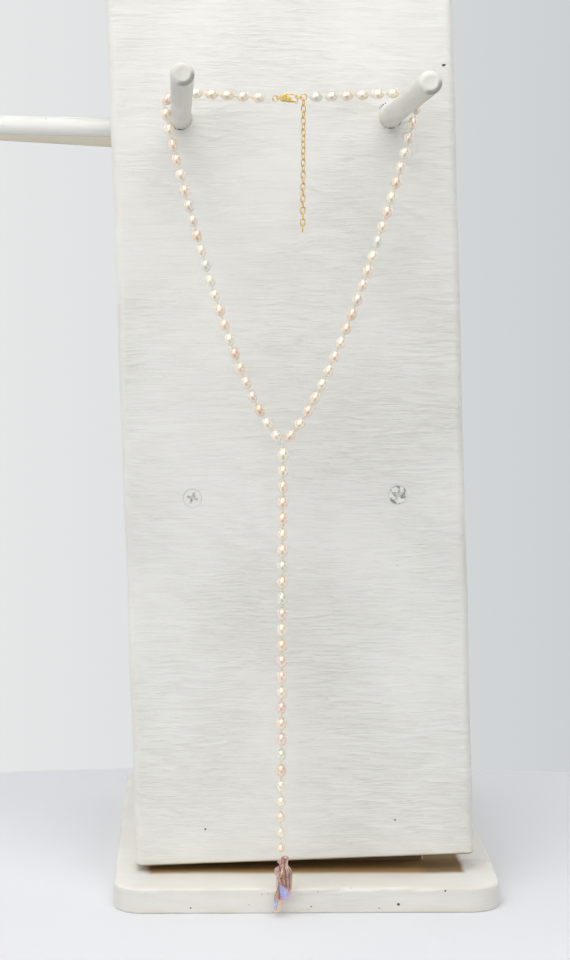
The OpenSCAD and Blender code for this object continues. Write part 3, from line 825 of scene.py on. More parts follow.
@dataclass(frozen=True)
class MetalFinish:
    """Plated or bare metal with fine rubbing marks and slightly uneven polish.

    The rubbing marks are drawn coarser than a polishing cloth leaves them, so that they show.
    """

    name: str
    body: str
    tarnish: str
    roughness: float = 0.16
    paint: str = ""
    paint_share: float = 0.0
    soften: float = 0.0
    cloud_size: float = 1.111
    rubs: Triple = (0.3846, 0.1923, 0.1111)
    rub_depth: float = 0.012
    film_size: float = 3.03

    def make(self) -> Material:
        """Builds the metal: warm or grey reflections, duller in the hollows, under any paint left on it."""
        s = Shader(self.name)
        cloud = {"Vector": s.place, "Scale": per_metre(self.cloud_size), "Detail": 3.0, "Roughness": 0.6}
        cloud = s.node("TexNoise", cloud)
        rub = s.node("Mapping", cells(s.place, self.rubs))
        rub = s.node("TexNoise", {"Vector": rub, "Scale": 1.0})
        dark = s.node("MapRange", (cloud, 0.45, 0.75, 0.0, 0.6), **SOFT)
        colour = s.node("Mix", {0: dark, 6: srgb(self.body), 7: srgb(self.tarnish)}, 2, **COLOURS)
        rough = s.node("MapRange", (cloud, 0.3, 0.75, self.roughness, self.roughness + 0.16), **SOFT)
        metallic: Value = 1.0
        hollow = s.node("Math", (cloud, 0.6), operation="MULTIPLY")
        height = s.node("Math", (rub, hollow), operation="ADD")
        if self.paint:
            blotch = {"Vector": s.place, "Scale": per_metre(self.film_size), "Detail": 4.0, "Roughness": 0.65}
            limit = 0.62 - self.paint_share * 0.3
            film = s.node("MapRange", (s.node("TexNoise", blotch), limit, limit + 0.04), **SOFT)
            colour = s.node("Mix", {0: film, 6: colour, 7: srgb(self.paint)}, 2, **COLOURS)
            matt = s.node("Math", (film, 0.5), operation="MULTIPLY")
            rough = s.node("Math", (rough, matt), operation="MAXIMUM")
            metallic = s.node("Math", (1.0, film), operation="SUBTRACT")
            thick = s.node("Math", (film, 4.0), operation="MULTIPLY")
            height = s.node("Math", (height, thick), operation="ADD")
        surface = {"Height": height, "Distance": self.rub_depth * MM}
        if self.soften:
            surface["Normal"] = s.node("Bevel", {"Radius": self.soften * MM}, samples=6)
        return s.finish(
            Base_Color=colour,
            Metallic=metallic,
            Roughness=rough,
            Normal=s.node("Bump", surface),
        )


@dataclass(frozen=True)
class ClothFinish:
    """White cotton cloth under the stand, with a fine plain weave."""

    name: str = "white_cotton_cloth"
    body: str = "FAFBFD"
    shade: str = "F0F2F5"
    thread: float = 0.5
    slub: float = 7.143
    layer: float = 100.0
    soft_size: float = 200.0
    weave_depth: float = 0.03

    def make(self) -> Material:
        """Builds the cloth: matt, with thread pitch of about half a millimetre."""
        s = Shader(self.name)
        threads = []
        for sizes in ((self.thread, self.slub, self.layer), (self.slub, self.thread, self.layer)):
            way = s.node("Mapping", cells(s.place, sizes))
            threads.append(s.node("TexNoise", {"Vector": way, "Scale": 1.0, "Detail": 1.0}))
        weave = s.node("Math", threads, operation="ADD")
        soft = s.node("TexNoise", {"Vector": s.place, "Scale": per_metre(self.soft_size)})
        soft = s.node("MapRange", (soft, 0.35, 0.75, 0.0, 0.5), **SOFT)
        return s.finish(
            Base_Color=s.node("Mix", {0: soft, 6: srgb(self.body), 7: srgb(self.shade)}, 2, **COLOURS),
            Roughness=0.9,
            Sheen_Weight=0.2,
            Normal=s.node("Bump", {"Height": weave, "Distance": self.weave_depth * MM}),
        )


# Layout, repeated from the CAD source


def turn_x(degrees: float) -> Matrix:
    """Turn about the X axis."""
    return Matrix.Rotation(math.radians(degrees), 4, "X")


def turn_y(degrees: float) -> Matrix:
    """Turn about the Y axis."""
    return Matrix.Rotation(math.radians(degrees), 4, "Y")


def turn_z(degrees: float) -> Matrix:
    """Turn about the Z axis."""
    return Matrix.Rotation(math.radians(degrees), 4, "Z")


@dataclass(frozen=True)
class PegPlace:
    """Place and direction of one peg on the board."""

    name: str
    x: float
    z: float
    up: float
    side: float


@dataclass(frozen=True)
class RailPlace:
    """Place and direction of one side rail in the post."""

    name: str
    z: float
    inward: float
    up: float


@dataclass(frozen=True)
class StandLayout:
    """Sizes of the stand, the same as in the CAD source."""

    base: Triple = (158.0, 214.0, 10.4)
    base_corner: float = 13.0
    board: Triple = (140.0, 18.0, 380.0)
    lean: float = 2.6
    roll: float = 2.0
    lift: float = 4.75
    inset: float = 24.4
    board_edge: float = 3.2
    post: Triple = (100.0, 34.0, 345.0)
    glue_gap: float = 0.1
    peg_d: float = 8.2
    peg_reach: float = 167.0
    peg_seat: float = 10.0
    peg_tip: float = 1.7
    rail_d: float = 8.0
    rail_reach: float = 76.0
    rail_seat: float = 20.0
    screw_d: float = 7.5
    shank_d: float = 4.0
    screw_head: float = 2.2
    screw_recess: float = 0.2
    screw_bite: float = 14.0
    fit: float = 0.1
    end_gap: float = 0.3
    pegs: tuple[PegPlace, ...] = (
        PegPlace("peg_left", -41.65, 305.8, 0.3, 0.8),
        PegPlace("peg_right", 43.5, 304.0, -0.85, 0.15),
    )
    rails: tuple[RailPlace, ...] = (
        RailPlace("side_rail_front", 303.9, 8.8, 2.9),
        RailPlace("side_rail_back", 300.1, 24.0, 5.0),
    )
    screws: tuple[tuple[float, float], ...] = ((-41.9, 151.7), (42.2, 150.2))

    @property
    def frame(self) -> Matrix:
        """The board's frame: u across, w into the board, v up its face."""
        at = (0, -self.base[1] / 2 + self.inset, self.base[2] + self.lift)
        return Matrix.Translation(at) @ turn_y(-self.roll) @ turn_x(-self.lean)

    def peg_frame(self, peg: PegPlace) -> Matrix:
        """Frame whose Z runs out along a peg from the board's face."""
        return self.frame @ Matrix.Translation((peg.x, 0, peg.z)) @ turn_z(peg.side) @ turn_x(90 - peg.up)

    def rail_frame(self, rail: RailPlace) -> Matrix:
        """Frame whose Z runs out along a rail from the post's side."""
        at = (-self.post[0] / 2, self.board[1] + self.glue_gap + rail.inward, rail.z)
        return self.frame @ Matrix.Translation(at) @ turn_y(rail.up - 90)

    def screw_frame(self, x: float, z: float) -> Matrix:
        """Frame whose Z runs into the board along a screw."""
        return self.frame @ Matrix.Translation((x, 0, z)) @ turn_x(-90)

    def peg_at(self, peg: PegPlace, y: float) -> np.ndarray:
        """Finds where a peg's axis crosses an upright plane.

        Args:
            peg: The peg.
            y: Place of the plane.

        Returns:
            The point.
        """
        frame = self.peg_frame(peg)
        start, way = frame.translation, frame.to_3x3() @ Vector((0, 0, 1))
        return np.array(start + way * ((y - start.y) / way.y))


@dataclass(frozen=True)
class Bead:
    """One pearl: its middle, the way that its thread runs, and its size."""

    middle: np.ndarray
    way: np.ndarray
    length: float
    width: float


def curve_points(handles: Sequence[np.ndarray], shares: Iterable[float]) -> list[np.ndarray]:
    """Finds points on the smooth curve that a list of handles gives.

    Args:
        handles: First point, handles and last point.
        shares: Where each point lies on the curve, from 0 to 1.

    Returns:
        The points.
    """
    found = []
    for t in shares:
        level = list(handles)
        while len(level) > 1:
            level = [a + (b - a) * t for a, b in zip(level, level[1:])]
        found.append(level[0])
    return found


def outward(side: int, degrees: float) -> np.ndarray:
    """Direction in the necklace's plane, turned from upright to the left (-1) or the right (1)."""
    a = math.radians(degrees)
    return np.array([side * math.sin(a), 0, math.cos(a)])


@dataclass(frozen=True)
class Path:
    """A line of points with the length of the way to each of them."""

    points: np.ndarray
    sums: np.ndarray

    @classmethod
    def along(cls, points: np.ndarray) -> "Path":
        """Path through points in their order."""
        steps = np.linalg.norm(np.diff(points, axis=0), axis=1)
        return cls(points, np.concatenate([[0], np.cumsum(steps)]))

    def at(self, way: float) -> np.ndarray:
        """Point after a length of way."""
        return np.array([np.interp(way, self.sums, self.points[:, k]) for k in range(3)])


@dataclass(frozen=True)
class NecklaceLayout:
    """Route and sizes of the necklace, the same as in the CAD source."""

    stand: StandLayout = field(default_factory=StandLayout)
    hang_out: float = 5.5
    v_depth: float = 129.75
    y_x: float = -11.5
    pearl: tuple[float, float] = (5.0, 3.75)
    pitch: float = 5.95
    peg_gap: float = 0.2
    bore_d: float = 0.8
    leads: tuple[float, float] = (5.0, 3.15)
    y_lead: float = 3.75
    silk_d: float = 0.44
    knot_d: float = 0.68
    y_knot_d: float = 1.1
    loop_r: float = 0.5
    loop_d: float = 0.3
    loops: tuple[tuple[float, float], ...] = ((-16.34, 325.1707), (-3.2, 325.6702))
    drop_count: int = 26
    drop_pitch: float = 6.32
    drop_start: float = 5.0
    first: tuple[float, float] = (5.8, 4.5)
    drop: tuple[float, float] = (5.25, 4.05)
    last: tuple[float, float] = (3.5, 3.2)
    taper_share: float = 0.2
    cycle: tuple[float, ...] = (1, 0.965, 1.02, 0.985, 1.01, 0.95, 1.015)
    crest_angle: float = 7.0
    crest_handle: float = 6.0
    leave_angle: float = 13.2
    leave_share: float = 0.285
    join_angle: float = 53.0
    join_share: float = 0.153
    crest_steps: int = 12
    wrap_steps: int = 12
    fall_steps: int = 40
    link_gap: float = 0.1
    ring_wire: float = 0.5
    extender_ring_r: float = 1.2
    chain_len: float = 50.0
    link_pitch: float = 2.3
    link_wire: float = 0.45
    link_w: float = 1.65
    first_turn: float = 62.0
    link_twist: float = 3.0
    pendant: Triple = (7.1, 6.0, 23.2)
    pendant_gap: float = 1.55
    drill_depth: float = 3.4

    @property
    def plane_y(self) -> float:
        """Upright plane that the necklace hangs in."""
        return -self.stand.base[1] / 2 - self.hang_out

    @property
    def pegs(self) -> list[np.ndarray]:
        """Both pegs' middles in that plane."""
        return [self.stand.peg_at(p, self.plane_y) for p in self.stand.pegs]

    @property
    def y_at(self) -> np.ndarray:
        """Point where the two strands meet."""
        return np.array([self.y_x, self.plane_y, (self.pegs[0][2] + self.pegs[1][2]) / 2 - self.v_depth])

    @property
    def wrap_r(self) -> float:
        """Distance of the strand from a peg's axis."""
        return self.stand.peg_d / 2 + self.pearl[1] * max(self.cycle) / 2 + self.peg_gap

    def size(self, index: int) -> float:
        """Relative size of a pearl by its number."""
        return self.cycle[index % len(self.cycle)]

    def loop_at(self, index: int) -> np.ndarray:
        """Middle of the silk's loop at the left or right metal ring."""
        x, z = self.loops[index]
        return np.array([x, self.plane_y, z])

    def route(self, index: int) -> np.ndarray:
        """Lays out a strand: up to its peg, over it and down to the Y.

        Args:
            index: 0 for the left strand, 1 for the right one.

        Returns:
            Points from its loop to the Y.
        """
        side, peg, radius = (-1, 1)[index], self.pegs[index], self.wrap_r
        start = self.loop_at(index) + np.array([side * self.loop_r, 0, 0])
        crest = peg + radius * outward(side, -self.crest_angle)
        lead = crest - self.crest_handle * outward(side, 90 - self.crest_angle)
        top = curve_points([start, lead, crest], [i / self.crest_steps for i in range(self.crest_steps)])
        sweep = 90 + self.leave_angle + self.crest_angle
        angles = [sweep * i / self.wrap_steps - self.crest_angle for i in range(self.wrap_steps + 1)]
        over = [peg + radius * outward(side, a) for a in angles]
        leave = peg + radius * outward(side, 90 + self.leave_angle)
        reach = float(np.linalg.norm(self.y_at - leave))
        out = leave - reach * self.leave_share * outward(side, self.leave_angle)
        join = self.y_at + reach * self.join_share * outward(side, self.join_angle)
        shares = [i / self.fall_steps for i in range(1, self.fall_steps + 1)]
        fall = curve_points([leave, out, join, self.y_at], shares)
        return np.array(top + over + fall)

    def neck_beads(self, index: int) -> list[Bead]:
        """Spaces the pearls of a neck strand evenly along its route.

        Args:
            index: 0 for the left strand, 1 for the right one.

        Returns:
            The pearls from the loop to the Y.
        """
        path = Path.along(self.route(index))
        whole = path.sums[-1]
        room = whole - self.leads[index] - self.y_lead
        steps = round(room / self.pitch)
        beads = []
        for i in range(steps + 1):
            s = self.leads[index] + room * i / steps
            length = self.pearl[0] * self.size(i)
            way = path.at(min(whole, s + length / 2)) - path.at(max(0, s - length / 2))
            width = self.pearl[1] * self.size(i + 3)
            beads.append(Bead(path.at(s), way / np.linalg.norm(way), length, width))
        return beads

    def drop_beads(self) -> list[Bead]:
        """Spaces the pearls of the hanging strand: a large first one, then alike, then smaller to the end.

        Returns:
            The pearls from the Y down.
        """
        beads = []
        last = self.drop_count - 1
        for i in range(self.drop_count):
            t = max(0.0, (i - last * (1 - self.taper_share)) / (last * self.taper_share))
            length = self.first[0] if i == 0 else self.drop[0] * self.size(i) * (1 - t) + self.last[0] * t
            width = self.first[1] if i == 0 else self.drop[1] * self.size(i + 3) * (1 - t) + self.last[1] * t
            middle = self.y_at - np.array([0, 0, self.drop_start + self.drop_pitch * i])
            beads.append(Bead(middle, np.array([0.0, 0.0, -1.0]), length, width))
        return beads

    @property
    def pendant_top(self) -> np.ndarray:
        """Tip of the baroque pearl."""
        return self.drop_beads()[-1].middle - np.array([0, 0, self.last[0] / 2 + self.pendant_gap])


# Geometry node groups


class Graph:
    """A geometry node group with named inputs, applied to a source of points."""

    def __init__(self, name: str, inputs: Sequence[tuple[str, str]]) -> None:
        """Starts a group with a geometry input and output and further named inputs.

        Args:
            name: Name of the group.
            inputs: Name and socket type of each further input.
        """
        self.tree = bpy.data.node_groups.new(name, "GeometryNodeTree")
        face = self.tree.interface
        face.new_socket("Geometry", in_out="INPUT", socket_type="NodeSocketGeometry")
        self.keys = {}
        for label, kind in inputs:
            self.keys[label] = face.new_socket(label, in_out="INPUT", socket_type=kind).identifier
        face.new_socket("Geometry", in_out="OUTPUT", socket_type="NodeSocketGeometry")
        self.start = self.tree.nodes.new("NodeGroupInput")

    def end(self, geometry: Socket, material: Socket) -> None:
        """Closes the group: realizes what it made and sets its material."""
        real = add(self.tree, "GeometryNodeRealizeInstances", {0: geometry}).outputs[0]
        dress = {"Geometry": real, "Material": material}
        add(self.tree, "NodeGroupOutput", {0: add(self.tree, "GeometryNodeSetMaterial", dress).outputs[0]})

    @staticmethod
    def keep(mesh: bpy.types.Mesh, name: str, values: np.ndarray) -> None:
        """Keeps a value for each point under a name that the group reads.

        Args:
            mesh: The points.
            name: Name of the attribute.
            values: Whole numbers, numbers or vectors.
        """
        if values.ndim == 2:
            layer = mesh.attributes.new(name, "FLOAT_VECTOR", "POINT")
            layer.data.foreach_set("vector", values.astype(np.float32).ravel())
        elif values.dtype.kind == "i":
            layer = mesh.attributes.new(name, "INT", "POINT")
            layer.data.foreach_set("value", values.astype(np.int32))
        else:
            layer = mesh.attributes.new(name, "FLOAT", "POINT")
            layer.data.foreach_set("value", values.astype(np.float32))

    def apply(
        self,
        name: str,
        points: np.ndarray,
        values: dict[str, np.ndarray],
        settings: dict[str, object],
        line: bool = False,
    ) -> Piece:
        """Runs the group on points and keeps the result as a plain mesh.

        Args:
            name: Name of the piece.
            points: Points in millimetres.
            values: Attribute of the points by name: whole numbers, numbers or vectors.
            settings: Value of each named input.
            line: Whether the points are joined in their order.

        Returns:
            The plain piece.
        """
        edges = [(i, i + 1) for i in range(len(points) - 1)] if line else []
        mesh = bpy.data.meshes.new(name + "_points")
        mesh.from_pydata((np.asarray(points) * MM).tolist(), edges, [])
        for key, data in values.items():
            self.keep(mesh, key, data)
        source = into_scene(bpy.data.objects.new(name + "_points", mesh))
        change = source.modifiers.new(self.tree.name, "NODES")
        change.node_group = self.tree
        for label, value in settings.items():
            change[self.keys[label]] = value
        made = bake(source, name)
        made.name = name
        return made


def stringing_graph() -> Graph:
    """Builds the group that puts one of several shapes on each point, with its own turn and size.

    Returns:
        The group, which reads the attributes turn, size and shape.
    """
    g = Graph("string_shapes", [("Shapes", "NodeSocketCollection"), ("Finish", "NodeSocketMaterial")])
    shapes = add(
        g.tree,
        "GeometryNodeCollectionInfo",
        {"Collection": g.start.outputs["Shapes"], "Separate Children": True, "Reset Children": True},
    ).outputs[0]
    own = {}
    for name, kind in (("turn", "FLOAT_VECTOR"), ("size", "FLOAT_VECTOR"), ("shape", "INT")):
        own[name] = add(g.tree, "GeometryNodeInputNamedAttribute", {"Name": name}, data_type=kind).outputs[0]
    turn = add(g.tree, "FunctionNodeEulerToRotation", {0: own["turn"]}).outputs[0]
    placed = add(
        g.tree,
        "GeometryNodeInstanceOnPoints",
        {
            "Points": g.start.outputs["Geometry"],
            "Instance": shapes,
            "Pick Instance": True,
            "Instance Index": own["shape"],
            "Rotation": turn,
            "Scale": own["size"],
        },
    ).outputs[0]
    g.end(placed, g.start.outputs["Finish"])
    return g


def thread_graph() -> Graph:
    """Builds the group that makes a round thread along joined points, as thick as they say.

    Returns:
        The group, which reads the attribute radius_m and stores the attribute around.
    """
    g = Graph("twisted_thread", [("Sides", "NodeSocketInt"), ("Finish", "NodeSocketMaterial")])
    line = add(g.tree, "GeometryNodeMeshToCurve", {"Mesh": g.start.outputs["Geometry"]}).outputs[0]
    ring = {"Resolution": g.start.outputs["Sides"], "Radius": 1.0}
    circle = add(g.tree, "GeometryNodeCurvePrimitiveCircle", ring).outputs[0]
    share = add(g.tree, "GeometryNodeSplineParameter").outputs["Factor"]
    mark = {"Geometry": circle, "Name": "around", "Value": share}
    marked = add(g.tree, "GeometryNodeStoreNamedAttribute", mark).outputs[0]
    name = {"Name": "radius_m"}
    radius = add(g.tree, "GeometryNodeInputNamedAttribute", name, data_type="FLOAT").outputs[0]
    sweep = {"Curve": line, "Profile Curve": marked, "Scale": radius, "Fill Caps": True}
    tube = add(g.tree, "GeometryNodeCurveToMesh", sweep).outputs[0]
    g.end(tube, g.start.outputs["Finish"])
    return g


class ShapeBox:
    """Holds the shapes that a stringing group picks from, until it has run."""

    def __init__(self, name: str, shapes: Sequence[Piece]) -> None:
        """Puts shapes into a collection in their order.

        Args:
            name: Name of the collection.
            shapes: Objects, whose names sort in the order of their numbers.
        """
        self.shapes = list(shapes)
        self.collection = bpy.data.collections.new(name)
        bpy.context.scene.collection.children.link(self.collection)
        for shape in self.shapes:
            bpy.context.scene.collection.objects.unlink(shape)
            self.collection.objects.link(shape)

    def clear(self) -> None:
        """Takes the shapes out of the file again."""
        for shape in self.shapes:
            bpy.data.objects.remove(shape)
        bpy.data.collections.remove(self.collection)


# The stand


@dataclass(frozen=True)
class PaintedSkin:
    """How finely a painted plank's mesh is cut up, and how uneven the brush left its paint."""

    fillets: tuple[float, float]
    row_step: float
    outline_step: float
    corner_steps: int
    wave: float
    wave_size: float
    wave_shift: float
    edge_reach: float

    def rows(self, length: float) -> list[tuple[float, float]]:
        """Inset and height of each row of a plank of this length."""
        return edge_profile(length, *self.fillets, self.row_step)

    def plank(
        self, width: float, depth: float, corner: float, rows: list[tuple[float, float]], shrink: float = 1.0
    ) -> np.ndarray:
        """Points round a plank with round corners, row by row up its Z axis.

        Args:
            width: Full size along the first axis.
            depth: Full size along the second axis.
            corner: Radius of the upright edges.
            rows: Inset and height of each row.
            shrink: How much the radius shrinks for each millimetre of inset.

        Returns:
            Array of rows, points and coordinates.
        """
        rings = []
        for inset, height in rows:
            sizes = (width - 2 * inset, depth - 2 * inset, corner - inset * shrink)
            flat = rounded_outline(*sizes, self.outline_step, self.corner_steps)
            rings.append(np.column_stack([flat, np.full(len(flat), height)]))
        return np.array(rings)

    def uneven(self, points: np.ndarray) -> np.ndarray:
        """The same points as the brush left them."""
        return ruffle(points, self.wave, self.wave_size, self.wave_shift)


def shaped(name: str, rings: np.ndarray, frame: Matrix) -> Piece:
    """Makes a closed piece from rings of points that are given in a frame of their own."""
    points, faces = loft(rings)
    return make_object(name, through(frame, points), faces)


def corners_in(piece: Piece, frame: Matrix) -> np.ndarray:
    """Vertices of a piece in millimetres, in a frame of their own."""
    return through(frame.inverted(), corners_of(piece))


def mark_edges(
    piece: Piece, frame: Matrix, low: Sequence[float], high: Sequence[float], reach: float
) -> None:
    """Marks how close each vertex is to an edge where two faces of a box meet.

    Args:
        piece: Piece to mark.
        frame: The box's frame.
        low: Lowest corner in that frame.
        high: Highest corner in that frame.
        reach: Distance over which the mark fades.
    """
    local = corners_in(piece, frame)
    away = np.minimum(local - np.array(low), np.array(high) - local).clip(0)
    second = np.sort(away, axis=1)[:, 1]
    store(piece, "edge", (1 - second / reach).clip(0, 1))


@dataclass
class Stand:
    """The painted wooden stand: base, post, leaning board, pegs, side rails and screws.

    The marks and chips are the specks that the photograph shows, as place and radius: on the
    board's face in its own frame, and on the base's front edge as place across, height and radius.
    """

    layout: StandLayout
    frame: dict
    base_skin: PaintedSkin = PaintedSkin((0.8, 1.7), 2.6, 5.0, 10, 0.22, 26.0, 3.0, 3.0)
    post_skin: PaintedSkin = PaintedSkin((0.4, 1.6), 8.0, 8.0, 5, 0.18, 30.0, 7.0, 4.0)
    board_skin: PaintedSkin = PaintedSkin((1.5, 1.5), 5.0, 5.0, 6, 0.3, 34.0, 1.0, 3.0)
    board_grain: Triple = (0.1, 7.0, 5.0)
    foot_height: float = 0.9
    paint_swell: float = 0.05
    bare_ahead: float = 0.6
    post_corner: float = 2.0
    post_shrink: float = 0.9
    soil_top: float = 14.0
    soil_fade: float = 6.0
    round_sides: int = 40
    cut_clear: float = 5.0
    peg_step: float = 6.0
    peg_wave: float = 0.09
    peg_collar: tuple[tuple[float, float], ...] = (
        *((0.0, -0.35), (0.75, -0.3), (0.7, 0.2)),
        *((0.35, 0.55), (0.12, 1.1), (0.0, 1.9)),
    )
    peg_dish: float = 0.12
    peg_crack_and_shade_pits: tuple[tuple[float, float], ...] = ((-11.0, 0.5), (-3.0, 0.62), (6.0, 0.58), (15.0, 0.42))
    peg_more_crack_and_shade_pits: int = 10
    rail_wave: float = 0.08
    rail_rows: int = 14
    rod_wave_size: float = 9.0
    white_rail: tuple[str, str, str, str] = ("white_brushed_paint_rail", "F4F3EE", "E9E8E2", "E6DDC6")
    # The back rail's paint is cream, warmer and darker than the front rail's.
    cream_rail: tuple[str, str, str, str] = ("old_cream_paint", "F7F0DE", "EDE3CC", "D9C59A")
    board_marks: tuple[tuple[float, float, float, float], ...] = (
        (-41.1, 0, 14.7, 0.5),
        (37.4, 0, 15.6, 0.45),
        (39.05, 0, 307.6, 0.3),
        (39.76, 0, 308.34, 0.34),
        (40.55, 0, 308.96, 0.34),
        (41.46, 0, 309.5, 0.28),
        (65.3, 0, 324.1, 0.55),
        (65.9, 0, 324.2, 0.5),
    )
    chips: tuple[Triple, ...] = (
        (36.5, 3.6, 0.8),
        (28.6, 2.0, 0.4),
        (55.4, 9.2, 0.5),
        (-47.5, 2.4, 0.45),
        (-18.8, 7.9, 0.42),
        (-16.3, 8.1, 0.36),
        (-24.8, 6.9, 0.34),
        (-24.0, 3.6, 0.36),
        (3.8, 8.9, 0.34),
        (1.1, 2.9, 0.44),
        (0.3, 1.4, 0.36),
    )
    chip_out: float = 0.2

    def build(self) -> None:
        """Builds every part of the stand in order."""
        self.build_base()
        self.build_post()
        self.build_board()
        for peg in self.layout.pegs:
            self.build_peg(peg)
        for rail in self.layout.rails:
            self.build_rail(rail)
        self.dress_screws()

    @staticmethod
    def paint(piece: Piece, finish: PaintFinish, node: str, slot: Slot = Slot.WHITE_PAINT) -> None:
        """Paints a finished piece, which then stands for its CAD node."""
        piece.data.materials.append(finish.make())
        settle(piece, Body.STAND, slot, node)

    def screw_cutters(self) -> list[Piece]:
        """Closed shapes of both countersunk screw holes."""
        s = self.layout
        head, shank = s.screw_d / 2 + s.fit, s.shank_d / 2 + s.fit
        profile = [
            (head, -self.cut_clear),
            (head, s.screw_recess),
            (shank, s.screw_recess + s.screw_head),
            (shank, s.screw_recess + s.board[1] + s.screw_bite + s.end_gap),
        ]
        rings = lathe(profile, self.round_sides)
        return [shaped("cutter", rings, s.screw_frame(x, z)) for x, z in s.screws]

    def rod_cutter(self, diameter: float, seat: float, frame: Matrix) -> Piece:
        """Closed shape of the hole that a rod sits in.

        Args:
            diameter: Diameter of the rod.
            seat: Length of the rod in the hole.
            frame: Frame whose Z runs out along the rod.

        Returns:
            The shape.
        """
        radius = diameter / 2 + self.layout.fit
        profile = [(radius, -seat - self.layout.end_gap), (radius, self.cut_clear)]
        return shaped("cutter", lathe(profile, self.round_sides), frame)

    def build_base(self) -> None:
        """Flat base with round corners, soft top edge and thick paint."""
        w, d, t = self.layout.base
        skin = self.base_skin
        body = skin.plank(w, d, self.layout.base_corner, skin.rows(t))
        moved = skin.uneven(body)
        low = body[..., 2] < self.foot_height
        moved[..., 2] = np.where(low, body[..., 2], moved[..., 2].clip(0.1, t + self.paint_swell))
        piece = make_object("base_painted", *loft(moved))
        mark_edges(piece, Matrix.Identity(4), (-w / 2, -d / 2, 0), (w / 2, d / 2, t), skin.edge_reach)
        # Painted shade: the sides below the top are greyed, so they look darker than the top.
        store(piece, "under", 0.28 * (corners_of(piece)[:, 2] < t - 1.0))
        finish = PaintFinish(
            "cream_white_brushed_paint",
            body="FFFBF2",
            shade="F6F3EB",
            # Grey of the painted shade on the sides.
            painted_shade="9FA09E",
            ridges=(62.5, 1.613, 1.613),
            turn=(0, 0, 1.5),
            ridge_depth=0.14,
            speck_share=0.05,
            bare=BareWoodShadeStrip(-d / 2 + self.layout.inset - self.bare_ahead),
            pits=tuple((x, -d / 2 - self.chip_out, z, radius) for x, z, radius in self.chips),
        )
        self.paint(piece, finish, "stand_base")

    def build_post(self) -> None:
        """Block behind the board, its foot flat on the base."""
        s = self.layout
        w, t, h = s.post
        front = s.board[1] + s.glue_gap
        back = front + t / 2
        skin = self.post_skin
        # The foot is cut flat, so the fillet's rows at the low end are left out.
        rows = [(0.0, 0.0), (0.0, 0.5), *skin.rows(h)[FILLET_ROWS + 1 :]]
        body = skin.plank(w, t, self.post_corner, rows, self.post_shrink)
        body[..., 1] += back
        m = np.array(s.frame)
        foot = (s.base[2] - m[2, 3] - m[2, 0] * body[..., 0] - m[2, 1] * body[..., 1]) / m[2, 2]
        body[..., 2] = foot + (h - foot) * body[..., 2] / h
        moved = skin.uneven(body)
        moved[..., 1] = moved[..., 1].clip(front, None)
        moved[0] = body[0]
        piece = shaped("post_painted", moved, s.frame)
        seats = [self.rod_cutter(s.rail_d, s.rail_seat, s.rail_frame(rail)) for rail in s.rails]
        piece = drill(piece, [*seats, *self.screw_cutters()])
        mark_edges(piece, s.frame, (-w / 2, back - t / 2, -8), (w / 2, back + t / 2, h), skin.edge_reach)
        local = corners_in(piece, s.frame)
        # Painted shade on the post's front foot, which shows through the gap under the board.
        low = ((self.soil_top - local[:, 2]) / self.soil_fade).clip(0, 1)
        store(piece, "under", 0.9 * low * (local[:, 1] < front + 0.6))
        finish = PaintFinish(
            "white_brushed_paint_post",
            ridges=(1.613, 1.613, 62.5),
            ridge_depth=0.16,
            speck_share=0.06,
        )
        self.paint(piece, finish, "stand_post")

    def build_board(self) -> None:
        """Leaning board with soft edges, drilled for the pegs and countersunk for the screws."""
        s = self.layout
        w, t, h = s.board
        skin = self.board_skin
        body = skin.plank(w, t, s.board_edge, skin.rows(h))
        body[..., 1] += t / 2
        moved = ruffle(skin.uneven(body), *self.board_grain)
        moved[..., 1] = moved[..., 1].clip(None, t + self.paint_swell)
        piece = shaped("board_painted", moved, s.frame)
        seats = [self.rod_cutter(s.peg_d, s.peg_seat, s.peg_frame(peg)) for peg in s.pegs]
        piece = drill(piece, [*seats, *self.screw_cutters()])
        mark_edges(piece, s.frame, (-w / 2, 0, 0), (w / 2, t, h), skin.edge_reach)
        local = corners_in(piece, s.frame)
        # Painted shade on the board's low end and underside, over the gap above the base.
        store(piece, "under", (1.2 - local[:, 2] / 0.8).clip(0, 1))
        pits = tuple((*(s.frame @ Vector(mark[:3])), mark[3]) for mark in self.board_marks)
        finish = PaintFinish("white_brushed_paint_board", pits=pits, speck_share=0.02)
        self.paint(piece, finish, "stand_board")

    def build_peg(self, peg: PegPlace) -> None:
        """Round painted peg with a ridge of paint round its root and a soft rim round its tip."""
        s = self.layout
        r, tip, end = s.peg_d / 2, s.peg_tip, s.peg_reach
        turns = [math.radians(18 * i) for i in range(6)]
        rim = [(r - tip + tip * math.cos(a), end - tip + tip * math.sin(a)) for a in turns]
        rows = range(3, int((end + s.peg_seat) / self.peg_step))
        along = [(r, -s.peg_seat + i * self.peg_step) for i in rows]
        collar = [(r + extra, up) for extra, up in self.peg_collar]
        cap = [(r - tip - 0.4, end - 0.02), (1.6, end - self.peg_dish), (0.5, end - self.peg_dish)]
        root = [(r - 0.3, -s.peg_seat), (r, -s.peg_seat + 0.4)]
        rings = lathe([*root, *collar, *along, (r, end - tip - 0.5), *rim, *cap], self.round_sides)
        rings[1:] = ruffle(rings[1:], self.peg_wave, self.rod_wave_size, peg.x)
        piece = shaped(peg.name + "_painted", rings, s.peg_frame(peg))
        local = corners_in(piece, s.peg_frame(peg))
        # The tip's lighter worn colour is a painted highlight.
        store(piece, "edge", (1 - np.abs(local[:, 2] - end) / 1.2).clip(0, 1))
        # The low right of the rim takes painted shade.
        store(piece, "under", self.rim_shade(local))
